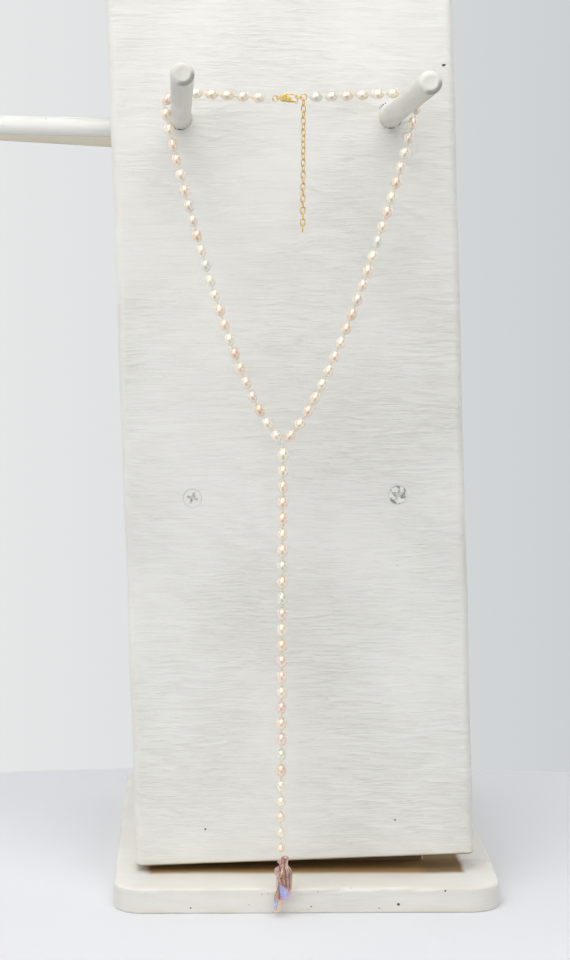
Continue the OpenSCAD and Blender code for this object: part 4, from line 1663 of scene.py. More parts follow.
        # The peg's white is darker than the board's: painted shade along its sides.
        finish = PaintFinish(
            "white_brushed_paint_" + peg.name,
            body="DFDDD3",
            shade="D3D1C6",
            worn="F4F2EA",
            painted_shade="6E6F62",
            speck="3A3228",
            ridges=(1.786, 71.43, 1.786),
            turn=(0, 0, 0),
            ridge_depth=0.1,
            wear=1.0,
            speck_share=0.02,
            pits=self.crack_and_shade_pits(peg),
        )
        self.paint(piece, finish, peg.name)

    def rim_shade(self, local: np.ndarray) -> np.ndarray:
        """Painted shade on the low right of a peg's rim.

        Args:
            local: Vertices in the peg's frame.

        Returns:
            How much painted shade each vertex gets.
        """
        away = np.hypot(local[:, 0], local[:, 1])
        toward = (local[:, 0] * 0.6 - local[:, 1] * 0.8) / away.clip(0.1, None)
        low_right = (toward - 0.3).clip(0, 0.4) / 0.4
        outer = ((away - 2.45) / 0.35).clip(0, 1)
        near_tip = ((local[:, 2] - self.layout.peg_reach + 1.9) / 0.6).clip(0, 1)
        return 0.55 * low_right * (outer * near_tip)

    def crack_and_shade_pits(self, peg: PegPlace) -> tuple[tuple[float, ...], ...]:
        """Dark pits where a peg meets the board, large ones below and small ones by them: cracks in the
        paint, and painted shade under the peg.

        Args:
            peg: The peg.

        Returns:
            Place and radius of each gap.
        """
        chance = np.random.default_rng(SEED + int(peg.z))
        # Most pits lie below the root: painted shade as well as cracks.
        angles = chance.uniform(-40, 80, self.peg_more_crack_and_shade_pits)
        sizes = chance.uniform(0.18, 0.42, self.peg_more_crack_and_shade_pits)
        reach = self.layout.peg_d / 2 + 0.6
        pits = []
        for angle, size in [*self.peg_crack_and_shade_pits, *zip(angles.tolist(), sizes.tolist())]:
            a = math.radians(angle - 90)
            at = self.layout.peg_frame(peg) @ Vector((reach * math.cos(a), reach * math.sin(a), 0.1))
            pits.append((*at, size))
        return tuple(pits)

    def build_rail(self, rail: RailPlace) -> None:
        """Round painted rod that reaches out to the left."""
        s = self.layout
        r = s.rail_d / 2
        start, end = -s.rail_seat, s.rail_reach
        step = (end - start - 1.2) / self.rail_rows
        along = [(r, start + 0.6 + i * step) for i in range(self.rail_rows + 1)]
        cap = [(r - 0.15, end - 0.2), (r - 0.6, end), (r - 1.2, end)]
        rings = lathe([(r - 0.5, start), *along, *cap], self.round_sides)
        rings[1:] = ruffle(rings[1:], self.rail_wave, self.rod_wave_size, rail.z)
        piece = shaped(rail.name + "_painted", rings, s.rail_frame(rail))
        local = corners_in(piece, s.rail_frame(rail))
        store(piece, "edge", (1 - np.abs(local[:, 2] - end) / 5).clip(0, 1))
        cream = rail.name.endswith("back")
        finish = PaintFinish(
            *(self.cream_rail if cream else self.white_rail),
            ridges=(71.43, 1.786, 1.786),
            turn=(0, 0, 0),
            ridge_depth=0.12,
            speck_share=0.06,
        )
        self.paint(piece, finish, rail.name, Slot.CREAM_PAINT if cream else Slot.WHITE_PAINT)

    def dress_screws(self) -> None:
        """Gives both screws their metal: the left one almost painted over, the right one half bare."""
        paint = "E8E7E0"
        left = MetalFinish("zinc_screw_painted_over", "B9B9B4", "8D8C86", 0.35, paint, 0.75)
        right = MetalFinish("zinc_screw_half_painted", "B4B4B0", "6E6E6A", 0.28, paint, 0.5)
        dress(self.frame, "board_screw_left", left.make())
        dress(self.frame, "board_screw_right", right.make())


def dress(frame: dict, name: str, material: Material) -> None:
    """Gives a CAD node a better material.

    Args:
        name: Name of the node.
        material: Material for all its faces.
    """
    node = frame["nodes"][name]
    node.data.materials.clear()
    node.data.materials.append(material)
    LOG.info("%s: %s", name, material.name)


# The necklace


@dataclass
class Pearls:
    """The pearls of all three strands, each with its own form, turn and overtone.

    They are drawn wider than the solids by the share of their nacre, as the photograph shows them,
    and still clear the pegs. The chances are those of the forms, in the order of PearlShape.
    """

    layout: NecklaceLayout
    graph: Graph
    finish: Material
    sides: int = 22
    steps: int = 15
    nacre: float = 1.06
    chances: tuple[float, ...] = (0.3, 0.25, 0.16, 0.17, 0.12)
    overtones: tuple[float, float] = (1.1, 1.6)
    lump: float = 0.045
    lumps: float = 2.4
    lump_shift: float = 3.1

    def shape(self, kind: PearlShape) -> Piece:
        """Makes one drilled pearl of unit length and width.

        Args:
            kind: Form of the pearl.

        Returns:
            Its object, the thread running along Z.
        """
        mouth = math.asin(self.layout.bore_d / self.layout.pearl[1])
        profile = []
        for i in range(self.steps + 1):
            a = mouth + (math.pi - 2 * mouth) * i / self.steps
            r, z = math.sin(a) / 2, -math.cos(a) / 2
            if 0 < i < self.steps:
                r *= self.swell(kind, 2 * z)
            profile.append((r, z))
        rings = lathe(profile, self.sides)
        if kind != PearlShape.OVAL:
            inner = rings[1:-1]
            shift = Vector((kind * self.lump_shift, 0, 0))
            lumps = np.array([noise.noise(Vector(p) * self.lumps + shift) for p in inner.reshape(-1, 3)])
            inner[..., :2] *= (1 + self.lump * lumps.reshape(inner.shape[:2]))[..., None]
        points, faces = loft(rings, closed=True)
        return make_object(f"pearl_shape_{int(kind)}", points / MM, faces, 60.0)

    @staticmethod
    def swell(kind: PearlShape, h: float) -> float:
        """Finds the width of a form, as a share of the plain oval's.

        Args:
            kind: Form of the pearl.
            h: Height on it, from -1 to 1.

        Returns:
            The share.
        """
        if kind == PearlShape.DROP:
            return 1.0 + 0.10 * h - 0.05 * h * h
        if kind == PearlShape.RINGED:
            low_ring = 0.055 * math.exp(-(((h + 0.42) / 0.1) ** 2))
            high_ring = 0.03 * math.exp(-(((h - 0.1) / 0.09) ** 2))
            return 1.01 - low_ring - high_ring
        if kind == PearlShape.BARREL:
            return 0.985 + 0.07 * h * h
        if kind == PearlShape.POTATO:
            return 1.0 + 0.05 * math.sin(3.2 * h)
        return 1.0

    def build(self) -> None:
        """Strings the pearls of both neck strands and of the drop."""
        box = ShapeBox("pearl_shapes", [self.shape(kind) for kind in PearlShape])
        strands = {
            "neck_pearls_left": self.layout.neck_beads(0),
            "neck_pearls_right": self.layout.neck_beads(1),
            "drop_pearls": self.layout.drop_beads(),
        }
        for number, (name, beads) in enumerate(strands.items()):
            self.string(name, beads, box, np.random.default_rng(SEED + number))
        box.clear()

    def string(self, name: str, beads: list[Bead], box: ShapeBox, chance: np.random.Generator) -> None:
        """Makes one strand's pearls as one piece.

        Args:
            name: CAD node that the piece stands for.
            beads: Pearls of the strand.
            box: Shapes to choose from.
            chance: Source of the differences between pearls.
        """
        shapes = chance.choice(len(PearlShape), len(beads), p=self.chances)
        turns = []
        for bead, shape in zip(beads, shapes):
            # A drop's thick end points up, whichever way its thread runs.
            upright = bead.way[2] > 0 or shape != PearlShape.DROP
            way = Vector(bead.way if upright else -bead.way)
            spin = turn_z(float(chance.uniform(0, 360))).to_3x3()
            turns.append((way.to_track_quat("Z", "Y").to_matrix() @ spin).to_euler("XYZ"))
        overtone = chance.beta(*self.overtones, len(beads))
        sizes = [(b.width * self.nacre, b.width * self.nacre, b.length) for b in beads]
        piece = self.graph.apply(
            name + "_nacre",
            np.array([b.middle for b in beads]),
            {
                "turn": np.array([tuple(t) for t in turns]),
                "size": np.array(sizes) * MM,
                "shape": shapes.astype(int),
                "overtone": overtone,
            },
            {"Shapes": box.collection, "Finish": self.finish},
        )
        settle(piece, Body.STAND, Slot.PEARL, name)


@dataclass
class Silk:
    """The knotted silk of all three strands."""

    layout: NecklaceLayout
    graph: Graph
    finish: Material
    sides: int = 10
    knot_rows: tuple[float, ...] = (-1, -0.72, -0.4, -0.08, 0.08, 0.4, 0.72, 1)
    knot_ends: float = 0.86
    knot_waist: float = 0.94
    loop_opening: float = 38.0
    loop_steps: int = 20
    y_knot_angles: tuple[float, ...] = (-74, -55, -35, -15, 0, 15, 35, 55, 74)

    def between(self, a: Bead, b: Bead) -> Thread:
        """Ties the knot between two pearls: a ball of silk with a slight waist.

        Args:
            a: Pearl before the knot.
            b: Pearl after the knot.

        Returns:
            Points and radii along the knot.
        """
        p = a.middle + a.way * self.half(a)
        q = b.middle - b.way * self.half(b)
        middle, way = (p + q) / 2, (q - p) / np.linalg.norm(q - p)
        radius = self.layout.knot_d / 2
        rings = []
        for k in self.knot_rows:
            waist = self.knot_waist if abs(k) < 0.1 else 1.0
            swell = math.sqrt(max(0.0, 1 - (self.knot_ends * k) ** 2)) * waist
            rings.append((middle + way * k * radius, radius * swell))
        return rings

    def half(self, bead: Bead) -> float:
        """Distance from a pearl's middle to the mouth of its bore."""
        return bead.length / 2 * math.cos(math.asin(self.layout.bore_d / bead.width))

    def strung(self, beads: list[Bead]) -> Thread:
        """Leads the silk through pearls, with a knot between neighbours.

        Args:
            beads: Pearls in their order.

        Returns:
            Points and radii along the silk.
        """
        rings = []
        for i, bead in enumerate(beads):
            for side in (-1, 1):
                rings.append((bead.middle + side * self.half(bead) * bead.way, self.layout.silk_d / 2))
            if i + 1 < len(beads):
                rings += self.between(bead, beads[i + 1])
        return rings

    def loop(self, index: int) -> Thread:
        """Leads the silk round a metal ring.

        Args:
            index: 0 for the left strand's ring, 1 for the right one's.

        Returns:
            Points and radii along the loop.
        """
        side, at, n = (-1, 1)[index], self.layout.loop_at(index), self.layout
        sweep = 360 - 2 * self.loop_opening
        steps = range(self.loop_steps + 1)
        turns = [math.radians(self.loop_opening + sweep * i / self.loop_steps) for i in steps]
        ways = [np.array([side * math.cos(a), math.sin(a), 0]) for a in turns]
        rings = [(at + n.loop_r * way, n.loop_d / 2) for way in ways]
        neck = at + np.array([side * (n.loop_r + n.loop_d * 1.3), 0, 0])
        return [*rings, (neck, n.loop_d / 2)]

    def make(self, name: str, rings: Thread) -> None:
        """Makes one thread as one piece.

        Args:
            name: CAD node that the piece stands for.
            rings: Points and radii along the thread.
        """
        path = Path.along(np.array([p for p, _ in rings]))
        piece = self.graph.apply(
            name.replace("thread", "silk"),
            path.points,
            {"radius_m": np.array([r for _, r in rings]) * MM, "along": path.sums},
            {"Sides": self.sides, "Finish": self.finish},
            line=True,
        )
        piece.data.shade_smooth()
        settle(piece, Body.STAND, Slot.SILK, name)

    def build(self) -> None:
        """Makes the silk of both neck strands and of the drop."""
        n = self.layout
        for index, name in enumerate(("neck_thread_left", "neck_thread_right")):
            beads = n.neck_beads(index)
            toward = beads[-1].middle - n.y_at
            stop = n.y_at + toward / np.linalg.norm(toward) * (n.y_knot_d / 2 + n.link_gap + n.silk_d / 2)
            self.make(name, [*self.loop(index), *self.strung(beads), (stop, n.silk_d / 2)])
        r = n.y_knot_d / 2
        turns = [math.radians(a) for a in self.y_knot_angles]
        knot = [(n.y_at - np.array([0, 0, r * math.sin(a)]), r * math.cos(a)) for a in turns]
        end = n.pendant_top - np.array([0, 0, n.drill_depth - 0.3])
        self.make("drop_thread", [*knot, *self.strung(n.drop_beads()), (end, n.silk_d / 2)])


@dataclass(frozen=True)
class Fold:
    """A raised or sunk line on the baroque pearl, seen from the front.

    Its points are the place across in millimetres from the tip, and the share of the height.
    """

    points: tuple[tuple[float, float], ...]
    width: float
    height: float
    front: bool = True


@dataclass
class BaroquePearl:
    """The large baroque pearl: knobbly tip, twisted body, a petal at its right and a tail at its left.

    A section is the share of the height, the left and right edges and the half depth, all but the
    first as shares of the pearl's width or depth.
    """

    layout: NecklaceLayout
    finish: Material
    columns: int = 96
    rows: int = 120
    sections: tuple[tuple[float, float, float, float], ...] = (
        (0.000, 0.15, 0.36, 0.10),
        (0.018, 0.07, 0.43, 0.17),
        (0.055, -0.05, 0.44, 0.22),
        (0.092, -0.18, 0.41, 0.25),
        (0.160, -0.05, 0.41, 0.27),
        (0.228, -0.31, 0.56, 0.40),
        (0.284, -0.33, 0.62, 0.46),
        (0.388, -0.23, 0.65, 0.50),
        (0.496, -0.23, 0.65, 0.50),
        (0.603, -0.21, 0.60, 0.46),
        (0.690, -0.31, 0.54, 0.38),
        (0.755, -0.35, 0.42, 0.30),
        (0.806, -0.38, 0.09, 0.20),
        (0.897, -0.39, 0.04, 0.15),
        (0.974, -0.39, 0.0, 0.12),
        (1.000, -0.33, -0.09, 0.06),
    )
    folds: tuple[Fold, ...] = (
        Fold(((1.6, 0.01), (0.8, 0.08), (0.5, 0.2), (-0.5, 0.29), (-1.5, 0.36)), 0.5, 0.5),
        Fold(((-1.9, 0.3), (-2.2, 0.42), (-1.7, 0.56), (-1.3, 0.68), (-1.6, 0.82), (-2.2, 0.97)), 0.5, 0.55),
        Fold(((-1.6, 0.3), (-0.8, 0.36), (0.5, 0.43), (1.3, 0.5)), 0.34, 0.42),
        Fold(((1.3, 0.12), (2.5, 0.28), (2.9, 0.42), (3.1, 0.58)), 0.45, 0.4),
        Fold(((0.9, 0.24), (1.2, 0.34), (1.5, 0.44)), 0.3, 0.3),
        Fold(((1.7, 0.04), (1.5, 0.18), (1.9, 0.3), (2.2, 0.42), (2.1, 0.52)), 0.26, -0.55),
        Fold(((-0.9, 0.33), (0.1, 0.38), (0.9, 0.45)), 0.22, -0.4),
        Fold(((3.2, 0.28), (3.5, 0.42), (3.6, 0.56)), 0.22, -0.4),
        Fold(((-0.6, 0.44), (-0.7, 0.54), (-0.5, 0.64), (-0.4, 0.74)), 0.26, -0.55),
        Fold(((-1.2, 0.12), (-0.6, 0.17), (-0.3, 0.24)), 0.26, -0.4),
        Fold(((0.2, 0.05), (-0.9, 0.1)), 0.5, 0.3),
        Fold(((1.4, 0.15), (0.2, 0.3), (1.6, 0.5), (2.4, 0.68)), 0.5, 0.4, front=False),
        Fold(((2.6, 0.2), (3.2, 0.4), (1.4, 0.62), (-1.2, 0.8)), 0.4, -0.45, front=False),
    )
    petal_at: tuple[float, float] = (1.2, 0.62)
    petal_size: tuple[float, float] = (1.75, 3.5)
    petal_turn: float = 26.0
    petal_lift: float = 0.45
    petal_hollow: float = 0.12
    ridge: float = 0.055
    ridge_count: int = 6
    ridge_twist: float = 150.0
    skin: float = 0.07
    skin_size: float = 1.1
    drill_r: float = 0.4
    sharp: float = 70.0
    cell: float = 0.25

    def section(self, share: float) -> np.ndarray:
        """Reads the sections along smooth curves.

        Args:
            share: Share of the height.

        Returns:
            Left edge, right edge and half depth.
        """
        table = np.array(self.sections)
        keys = table[:, 0]
        i = int(np.clip(np.searchsorted(keys, share) - 1, 0, len(keys) - 2))
        t = (share - keys[i]) / (keys[i + 1] - keys[i])
        slopes = np.gradient(table[:, 1:], keys, axis=0)
        h = keys[i + 1] - keys[i]
        a, b, va, vb = table[i, 1:], table[i + 1, 1:], slopes[i] * h * 0.7, slopes[i + 1] * h * 0.7
        u = t * t * (3 - 2 * t)
        return a + (b - a) * u + va * t * (1 - t) ** 2 - vb * t * t * (1 - t)

    def build(self) -> None:
        """Makes the pearl from its sections, folds and fine skin."""
        w, d, h = self.layout.pendant
        top = self.layout.pendant_top
        shares = np.unique(np.concatenate([np.linspace(0, 1, self.rows), [0.006, 0.994]]))
        angles = np.arange(self.columns) * 2 * math.pi / self.columns
        rings = []
        for s in shares:
            left, right, deep = self.section(s)
            ridge = 1 + self.ridge * np.cos(self.ridge_count * angles + math.radians(self.ridge_twist * s))
            x = w * ((left + right) / 2 + (right - left) / 2 * ridge * np.cos(angles))
            y = d * deep * ridge * np.sin(angles)
            rings.append(np.column_stack([x, y, np.full(self.columns, -h * s)]))
        body = np.array(rings)
        around = np.roll(body, -1, axis=1) - np.roll(body, 1, axis=1)
        along = np.gradient(body, axis=0)
        out = np.cross(around, along)
        out /= np.linalg.norm(out, axis=2, keepdims=True) + 1e-9
        lift, groove = self.relief(body, angles)
        fade = np.clip(np.minimum(shares / 0.04, (1 - shares) / 0.05), 0, 1)[:, None]
        body = body + out * (lift * fade)[..., None]
        skin = [noise.noise(Vector(p) / self.skin_size) for p in body.reshape(-1, 3)]
        body = body + out * (self.skin * np.array(skin).reshape(lift.shape) * fade)[..., None]
        points, faces = loft(body + top)
        piece = make_object("pendant_baroque", points, faces, self.sharp)
        bore = [(self.drill_r, -self.layout.drill_depth), (self.drill_r, 5)]
        cutter_points, cutter_faces = loft(lathe(bore, 20))
        cutter = make_object("cutter", cutter_points + top, cutter_faces)
        piece = drill(piece, [cutter], self.sharp)
        self.tint(piece, top, body, groove)
        piece.data.materials.append(self.finish)
        settle(piece, Body.STAND, Slot.BAROQUE, "pendant_pearl")

    def petal(self, x: np.ndarray, z: np.ndarray, y: np.ndarray) -> np.ndarray:
        """Measures how far points lie from the middle of the front petal.

        Args:
            x: Places across.
            z: Heights, from the tip down.
            y: Places from front to back.

        Returns:
            Distances that are one at the petal's rim, and large behind it.
        """
        a = math.radians(self.petal_turn)
        dx, dz = x - self.petal_at[0], z + self.petal_at[1] * self.layout.pendant[2]
        across, down = dx * math.cos(a) + dz * math.sin(a), dx * math.sin(a) - dz * math.cos(a)
        narrow = self.petal_size[0] * (1 + 0.35 * np.clip(down / self.petal_size[1], -1, 1))
        return np.hypot(across / narrow, down / self.petal_size[1]) + 3 * (y > 0.3)

    def from_line(self, fold: Fold, body: np.ndarray) -> np.ndarray:
        """Measures how far points lie from a fold's line, as seen from the front.

        Args:
            fold: The fold.
            body: Points of the pearl, from its tip down.

        Returns:
            The distances.
        """
        x, z = body[..., 0], body[..., 2]
        line = np.array([(across, -share * self.layout.pendant[2]) for across, share in fold.points])
        away = np.full(x.shape, np.inf)
        for a, b in zip(line, line[1:]):
            ab = b - a
            t = np.clip(((x - a[0]) * ab[0] + (z - a[1]) * ab[1]) / (ab @ ab), 0, 1)
            away = np.minimum(away, np.hypot(x - a[0] - t * ab[0], z - a[1] - t * ab[1]))
        return away

    def relief(self, body: np.ndarray, angles: np.ndarray) -> tuple[np.ndarray, np.ndarray]:
        """Finds how high the folds and the petal stand at every point.

        Args:
            body: Points of the smooth pearl, from its tip down.
            angles: Turn of each point of a ring about the pearl's middle.

        Returns:
            The heights, and how deep each point lies in a groove.
        """
        facing = np.clip(-np.sin(angles) * 1.6 + 0.35, 0, 1)[None, :]
        behind = np.clip(np.sin(angles) * 1.6 + 0.35, 0, 1)[None, :]
        leaf = self.petal(body[..., 0], body[..., 2], body[..., 1])
        swell = self.petal_lift * np.clip((1.08 - leaf) / 0.2, 0, 1) * facing
        lift = swell - self.petal_hollow * np.clip(1 - leaf / 0.8, 0, 1) * facing
        groove = np.zeros(body.shape[:2])
        for fold in self.folds:
            side = facing if fold.front else behind
            bell = np.exp(-((self.from_line(fold, body) / fold.width) ** 2)) * side
            lift += fold.height * bell
            if fold.height < 0:
                groove = np.maximum(groove, bell)
        return lift, groove

    def tint(self, piece: Piece, top: np.ndarray, body: np.ndarray, groove: np.ndarray) -> None:
        """Marks each vertex with its share in the petal, its rim, the tail, the tail's edge and the grooves.

        Args:
            piece: The drilled pearl.
            top: Place of its tip.
            body: Points of the pearl before it was drilled, from its tip down.
            groove: How deep each of them lies in a groove.
        """
        local = corners_of(piece) - top
        h = self.layout.pendant[2]
        share = (-local[:, 2] / h).clip(0, 1)
        leaf = self.petal(local[:, 0], local[:, 2], local[:, 1])
        low_right = np.clip((local[:, 0] + 1.0) / 2.0 + (share - 0.6) * 6, 0, 1)
        store(piece, "petal", np.clip((1.05 - leaf) / 0.15, 0, 1))
        store(piece, "rim", np.exp(-(((leaf - 0.98) / 0.14) ** 2)) * low_right)
        tail = np.clip((share - 0.74) / 0.1, 0, 1)
        store(piece, "tail", tail)
        tail_side = tail * np.clip((local[:, 0] + 1.5) / 0.8, 0, 1)
        tail_end = np.clip((share - 0.92) / 0.06, 0, 1)
        store(piece, "edge", np.clip(tail_side + tail_end, 0, 1))
        # Drilling changes the order of the vertices, so the grooves are looked up by place.
        cells: dict[tuple[int, int, int], float] = {}
        for p, g in zip(np.round(body.reshape(-1, 3) / self.cell).astype(int), groove.ravel()):
            key = tuple(p)
            cells[key] = max(cells.get(key, 0.0), float(g))
        keys = np.round(local / self.cell).astype(int)
        store(piece, "groove", np.array([cells.get(tuple(k), 0.0) for k in keys]))


@dataclass
class Goldwork:
    """Gold-plated clasp, rings and extender chain."""

    layout: NecklaceLayout
    graph: Graph
    frame: dict
    finish: Material
    soft_finish: Material
    sides: int = 10
    arc: int = 10

    @property
    def reach(self) -> float:
        """Half the height of a link, to the middle of its wire."""
        n = self.layout
        return (n.link_pitch + n.link_wire + 1.5 * n.link_gap) / 2

    def link(self) -> Piece:
        """Makes one oval link of round wire, hanging along Z.

        Returns:
            The link, for the stringing group.
        """
        n = self.layout
        r = n.link_w / 2
        half = self.reach - r
        turns = np.arange(self.sides) * 2 * math.pi / self.sides
        out, wire = np.cos(turns) * n.link_wire / 2, np.sin(turns) * n.link_wire / 2
        rings = []
        for end in (1, -1):
            for i in range(self.arc + 1):
                a = math.pi * i / self.arc
                across, up = end * math.cos(a), end * math.sin(a)
                x, z = r * across, end * half + r * up
                rings.append(np.column_stack([x + out * across, wire, z + out * up]))
        points, faces = loft(np.array(rings), closed=True)
        return make_object("link_shape_0", points, faces, 60.0)

    def build(self) -> None:
        """Makes the chain, and dresses the clasp and the rings."""
        n = self.layout
        box = ShapeBox("link_shapes", [self.link()])
        count = round(n.chain_len / n.link_pitch)
        x, z = n.loops[1][0] - n.extender_ring_r, n.loops[1][1]
        first = z - n.extender_ring_r + (n.ring_wire + n.link_wire) / 2 + n.link_gap - self.reach
        points = np.array([(x, n.plane_y, first - n.link_pitch * i) for i in range(count)])
        turns = [math.radians(n.first_turn + (90 - n.link_twist) * i) for i in range(count)]
        piece = self.graph.apply(
            "extender_chain_gold",
            points,
            {
                "turn": np.array([(0, 0, a) for a in turns]),
                "size": np.ones((count, 3)),
                "shape": np.zeros(count, int),
            },
            {"Shapes": box.collection, "Finish": self.finish},
        )
        box.clear()
        settle(piece, Body.STAND, Slot.GOLD, "extender_chain")
        for name in ("clasp_ring", "hook_ring", "extender_ring"):
            dress(self.frame, name, self.finish)
        for name in ("clasp_body", "clasp_lever"):
            dress(self.frame, name, self.soft_finish)


# Studio and camera


@dataclass(frozen=True)
class Softbox:
    """One area light, aimed at a point."""

    name: str
    at: Triple
    size: float
    power: float
    colour: str = "FFFFFF"
    target: Triple = (0, -60, 190)


@dataclass
class Studio:
    """Pale cloth, soft lights, plain background and the camera.

    A glow is the light of a part of the surroundings. The wall is brighter behind the object
    than in front of it, the floor is brighter to its sides, and the window is a bright patch in
    front, which gives the pearls and the gold their highlights.
    """

    lights: tuple[Softbox, ...] = (
        Softbox("key_left", (-760, -1000, 930), 1400, 6.4, "FFFFFF"),
        Softbox("key_right", (420, -960, 1120), 900, 1.3, "FFFDFA"),
        Softbox("top_near", (-40, -230, 720), 400, 1.05, "FFFFFF", (0, -40, 250)),
    )
    floor_glow: tuple[float, float] = (0.1, 0.95)
    wall_glow: tuple[float, float] = (0.1, 1.25)
    ceiling_glow: float = 0.22
    tint: str = "F6F7FA"
    backdrop_light_to_shade: tuple[str, str] = ("E7E9E9", "CDD0D2")
    window_glow: float = 1.0
    cloth_edges: tuple[float, float] = (-235.0, 150.0)
    table_edge: float = 9.0
    cloth_drop: float = 760.0
    cloth_reach: float = 1300.0
    cloth_columns: int = 241
    cloth_rows: int = 40
    hem_rows: int = 12
    camera_at: Triple = (-43.92, -1050.06, 281.84)
    yaw: float = 2.03
    pitch: float = 6.39
    roll: float = 0.35
    focal_px: float = 2400.0
    long_side_px: float = 960.0

    def build_camera(self) -> None:
        """Camera at the photograph's place, with its pinhole angle."""
        data = bpy.data.cameras.new("photo_camera")
        data.lens = self.focal_px / self.long_side_px * data.sensor_width
        data.clip_start = 0.05
        data.clip_end = 20.0
        camera = into_scene(bpy.data.objects.new("photo_camera", data))
        y, p, r = (math.radians(a) for a in (self.yaw, self.pitch, self.roll))
        forward = Vector((math.sin(y) * math.cos(p), math.cos(y) * math.cos(p), -math.sin(p)))
        right = Vector((math.cos(y), -math.sin(y), 0))
        up = right.cross(forward)
        right_rolled = right * math.cos(r) + up * math.sin(r)
        up_rolled = -right * math.sin(r) + up * math.cos(r)
        turn = Matrix((right_rolled, up_rolled, -forward)).transposed().to_4x4()
        camera.matrix_world = Matrix.Translation(Vector(self.camera_at) * MM) @ turn
        bpy.context.scene.camera = camera

    def build_lights(self) -> None:
        """Large soft lights above and to both sides."""
        for box in self.lights:
            data = bpy.data.lights.new(box.name, "AREA")
            data.shape = "SQUARE"
            data.size = box.size * MM
            data.energy = box.power
            data.color = srgb(box.colour)[:3]
            lamp = into_scene(bpy.data.objects.new(box.name, data))
            lamp.location = Vector(box.at) * MM
            lamp.rotation_mode = "QUATERNION"
            lamp.rotation_quaternion = (Vector(box.target) - Vector(box.at)).to_track_quat("-Z", "Y")

    def glow(self, w: Wiring, x: Socket, y: Socket, z: Socket) -> Socket:
        """Spreads the light round the object: floor, wall, ceiling and the window.

        Args:
            w: Node tree of the world.
            x: How far a direction points to the right.
            y: How far it points to the back.
            z: How far it points up.

        Returns:
            Strength of the light from each direction.
        """
        aside = w.node("Math", (x,), operation="ABSOLUTE")
        floor = w.node("MapRange", (aside, 0.2, 0.6, *self.floor_glow))
        wall = w.node("MapRange", (y, -0.2, 0.2, *self.wall_glow))
        over = w.node("MapRange", (z, 0.55, 0.7))
        sky = w.node("Mix", {0: over, 2: wall, 3: self.ceiling_glow}, **NUMBERS)
        above = w.node("MapRange", (z, 0.0, 0.12))
        strength = w.node("Mix", {0: above, 2: floor, 3: sky}, **NUMBERS)
        pane = w.node("MapRange", (z, -0.05, 0.02, 0.0, self.window_glow))
        for value, start, end in ((z, 0.8, 0.9), (aside, 0.4, 0.6), (y, -0.1, 0.1)):
            fade = w.node("MapRange", (value, start, end, 1.0, 0.0))
            pane = w.node("Math", (pane, fade), operation="MULTIPLY")
        return w.node("Math", (strength, pane), operation="ADD")

    def build_world(self) -> None:
        """Pale grey background, lighter at the left and darker at the right as painted shade, and the light
        that comes from all round.
        """
        world = bpy.data.worlds.new("pale_studio")
        bpy.context.scene.world = world
        world.use_nodes = True
        w = Wiring(world.node_tree)
        x, y, z = add(w.tree, "ShaderNodeSeparateXYZ", {0: w.node("TexCoord", out="Generated")}).outputs
        # The backdrop darkens to the right: painted shade.
        aside = w.node("MapRange", (x, -0.1, 0.16))
        left, right = (srgb(code) for code in self.backdrop_light_to_shade)
        wall = w.node("Mix", {0: aside, 6: left, 7: right}, 2, **COLOURS)
        seen = w.node("Background", {"Color": wall, "Strength": 1.0})
        light = w.node("Background", {"Color": srgb(self.tint), "Strength": self.glow(w, x, y, z)})
        ray = w.node("LightPath", out="Is Camera Ray")
        add(w.tree, "ShaderNodeOutputWorld", {"Surface": w.node("MixShader", (ray, light, seen))})
        bpy.context.scene.view_settings.view_transform = "Standard"

    def build_cloth(self) -> None:
        """White cloth on a table: soft folds, flat under the base, hanging down in front and at the back."""
        near, far = self.cloth_edges
        rows = [(y, 0.0) for y in np.linspace(near, far, self.cloth_rows)]
        rows = [*self.hang(near, -1)[::-1], *rows, *self.hang(far, 1)]
        xs = np.linspace(-self.cloth_reach, self.cloth_reach, self.cloth_columns)
        points = np.array([[self.cloth_point(x, y, z) for x in xs] for y, z in rows])
        columns = len(xs)
        faces = [
            [i * columns + k, i * columns + k + 1, (i + 1) * columns + k + 1, (i + 1) * columns + k]
            for i in range(len(rows) - 1)
            for k in range(columns - 1)
        ]
        cloth = make_object("studio_cloth", points, faces, 80.0)
        cloth.data.materials.append(ClothFinish().make())

    def hang(self, edge: float, side: int) -> list[tuple[float, float]]:
        """Leads the cloth over a table edge and down to its hem.

        Args:
            edge: Place of the edge.
            side: -1 for the front, 1 for the back.

        Returns:
            Place and height of each row, from the edge down.
        """
        r = self.table_edge
        bend = [(edge + side * r * math.sin(a), -r * (1 - math.cos(a))) for a in (0.5, 1.0, math.pi / 2)]
        falls = [self.cloth_drop * i / self.hem_rows for i in range(1, self.hem_rows + 1)]
        return [*bend, *((edge + side * r, -r - fall) for fall in falls)]

    def cloth_point(self, x: float, y: float, z: float) -> Triple:
        """Moves a point of the cloth by its folds: down on the table, in and out where it hangs.

        Args:
            x: Place across.
            y: Place from front to back.
            z: Height.

        Returns:
            The moved point.
        """
        loose = min(max((max(abs(x) - 84, abs(y) - 110)) / 60, 0), 1)
        broad = noise.noise(Vector((x / 260, y / 150, 0.3))) * 5
        fine = noise.noise(Vector((x / 70, y / 90, 4.0))) * 1.6
        wave = noise.noise(Vector((x / 90, 0.7, z / 900))) * 26 * min(-z / 250, 1)
        return x, y + wave, z - abs(broad + fine) * loose - 0.02

# Main


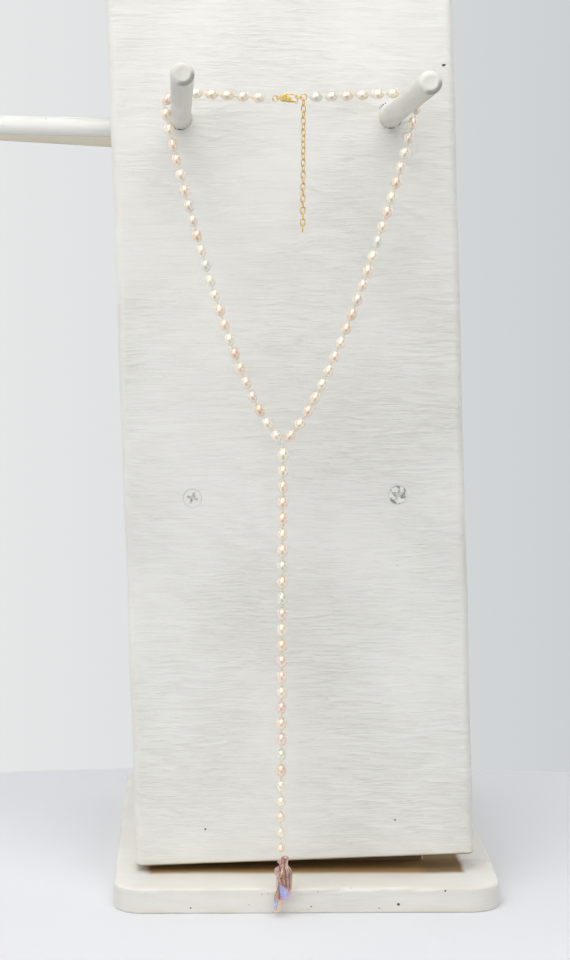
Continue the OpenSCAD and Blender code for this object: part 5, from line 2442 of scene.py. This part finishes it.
def main() -> None:
    """Loads the frame and builds the scene in order."""
    logging.basicConfig(level=logging.INFO, format="%(name)s: %(message)s")
    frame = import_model()
    # Blender takes the seed of its vector noise from the clock unless it gets one.
    noise.seed_set(SEED)
    studio = Studio()
    studio.build_camera()
    stand = StandLayout()
    necklace = NecklaceLayout(stand)
    Stand(stand, frame).build()
    stringing, threads = stringing_graph(), thread_graph()
    Pearls(necklace, stringing, PearlFinish().make()).build()
    Silk(necklace, threads, SilkFinish().make()).build()
    BaroquePearl(necklace, BaroqueFinish().make()).build()
    gold = MetalFinish("gold_plated_brass", "EFCF8C", "B08642", 0.13).make()
    cast = MetalFinish("gold_plated_clasp", "F8D67E", "C59A44", 0.16, soften=0.6).make()
    Goldwork(necklace, stringing, frame, gold, cast).build()
    studio.build_lights()
    studio.build_world()
    studio.build_cloth()


if __name__ == "__main__":
    main()
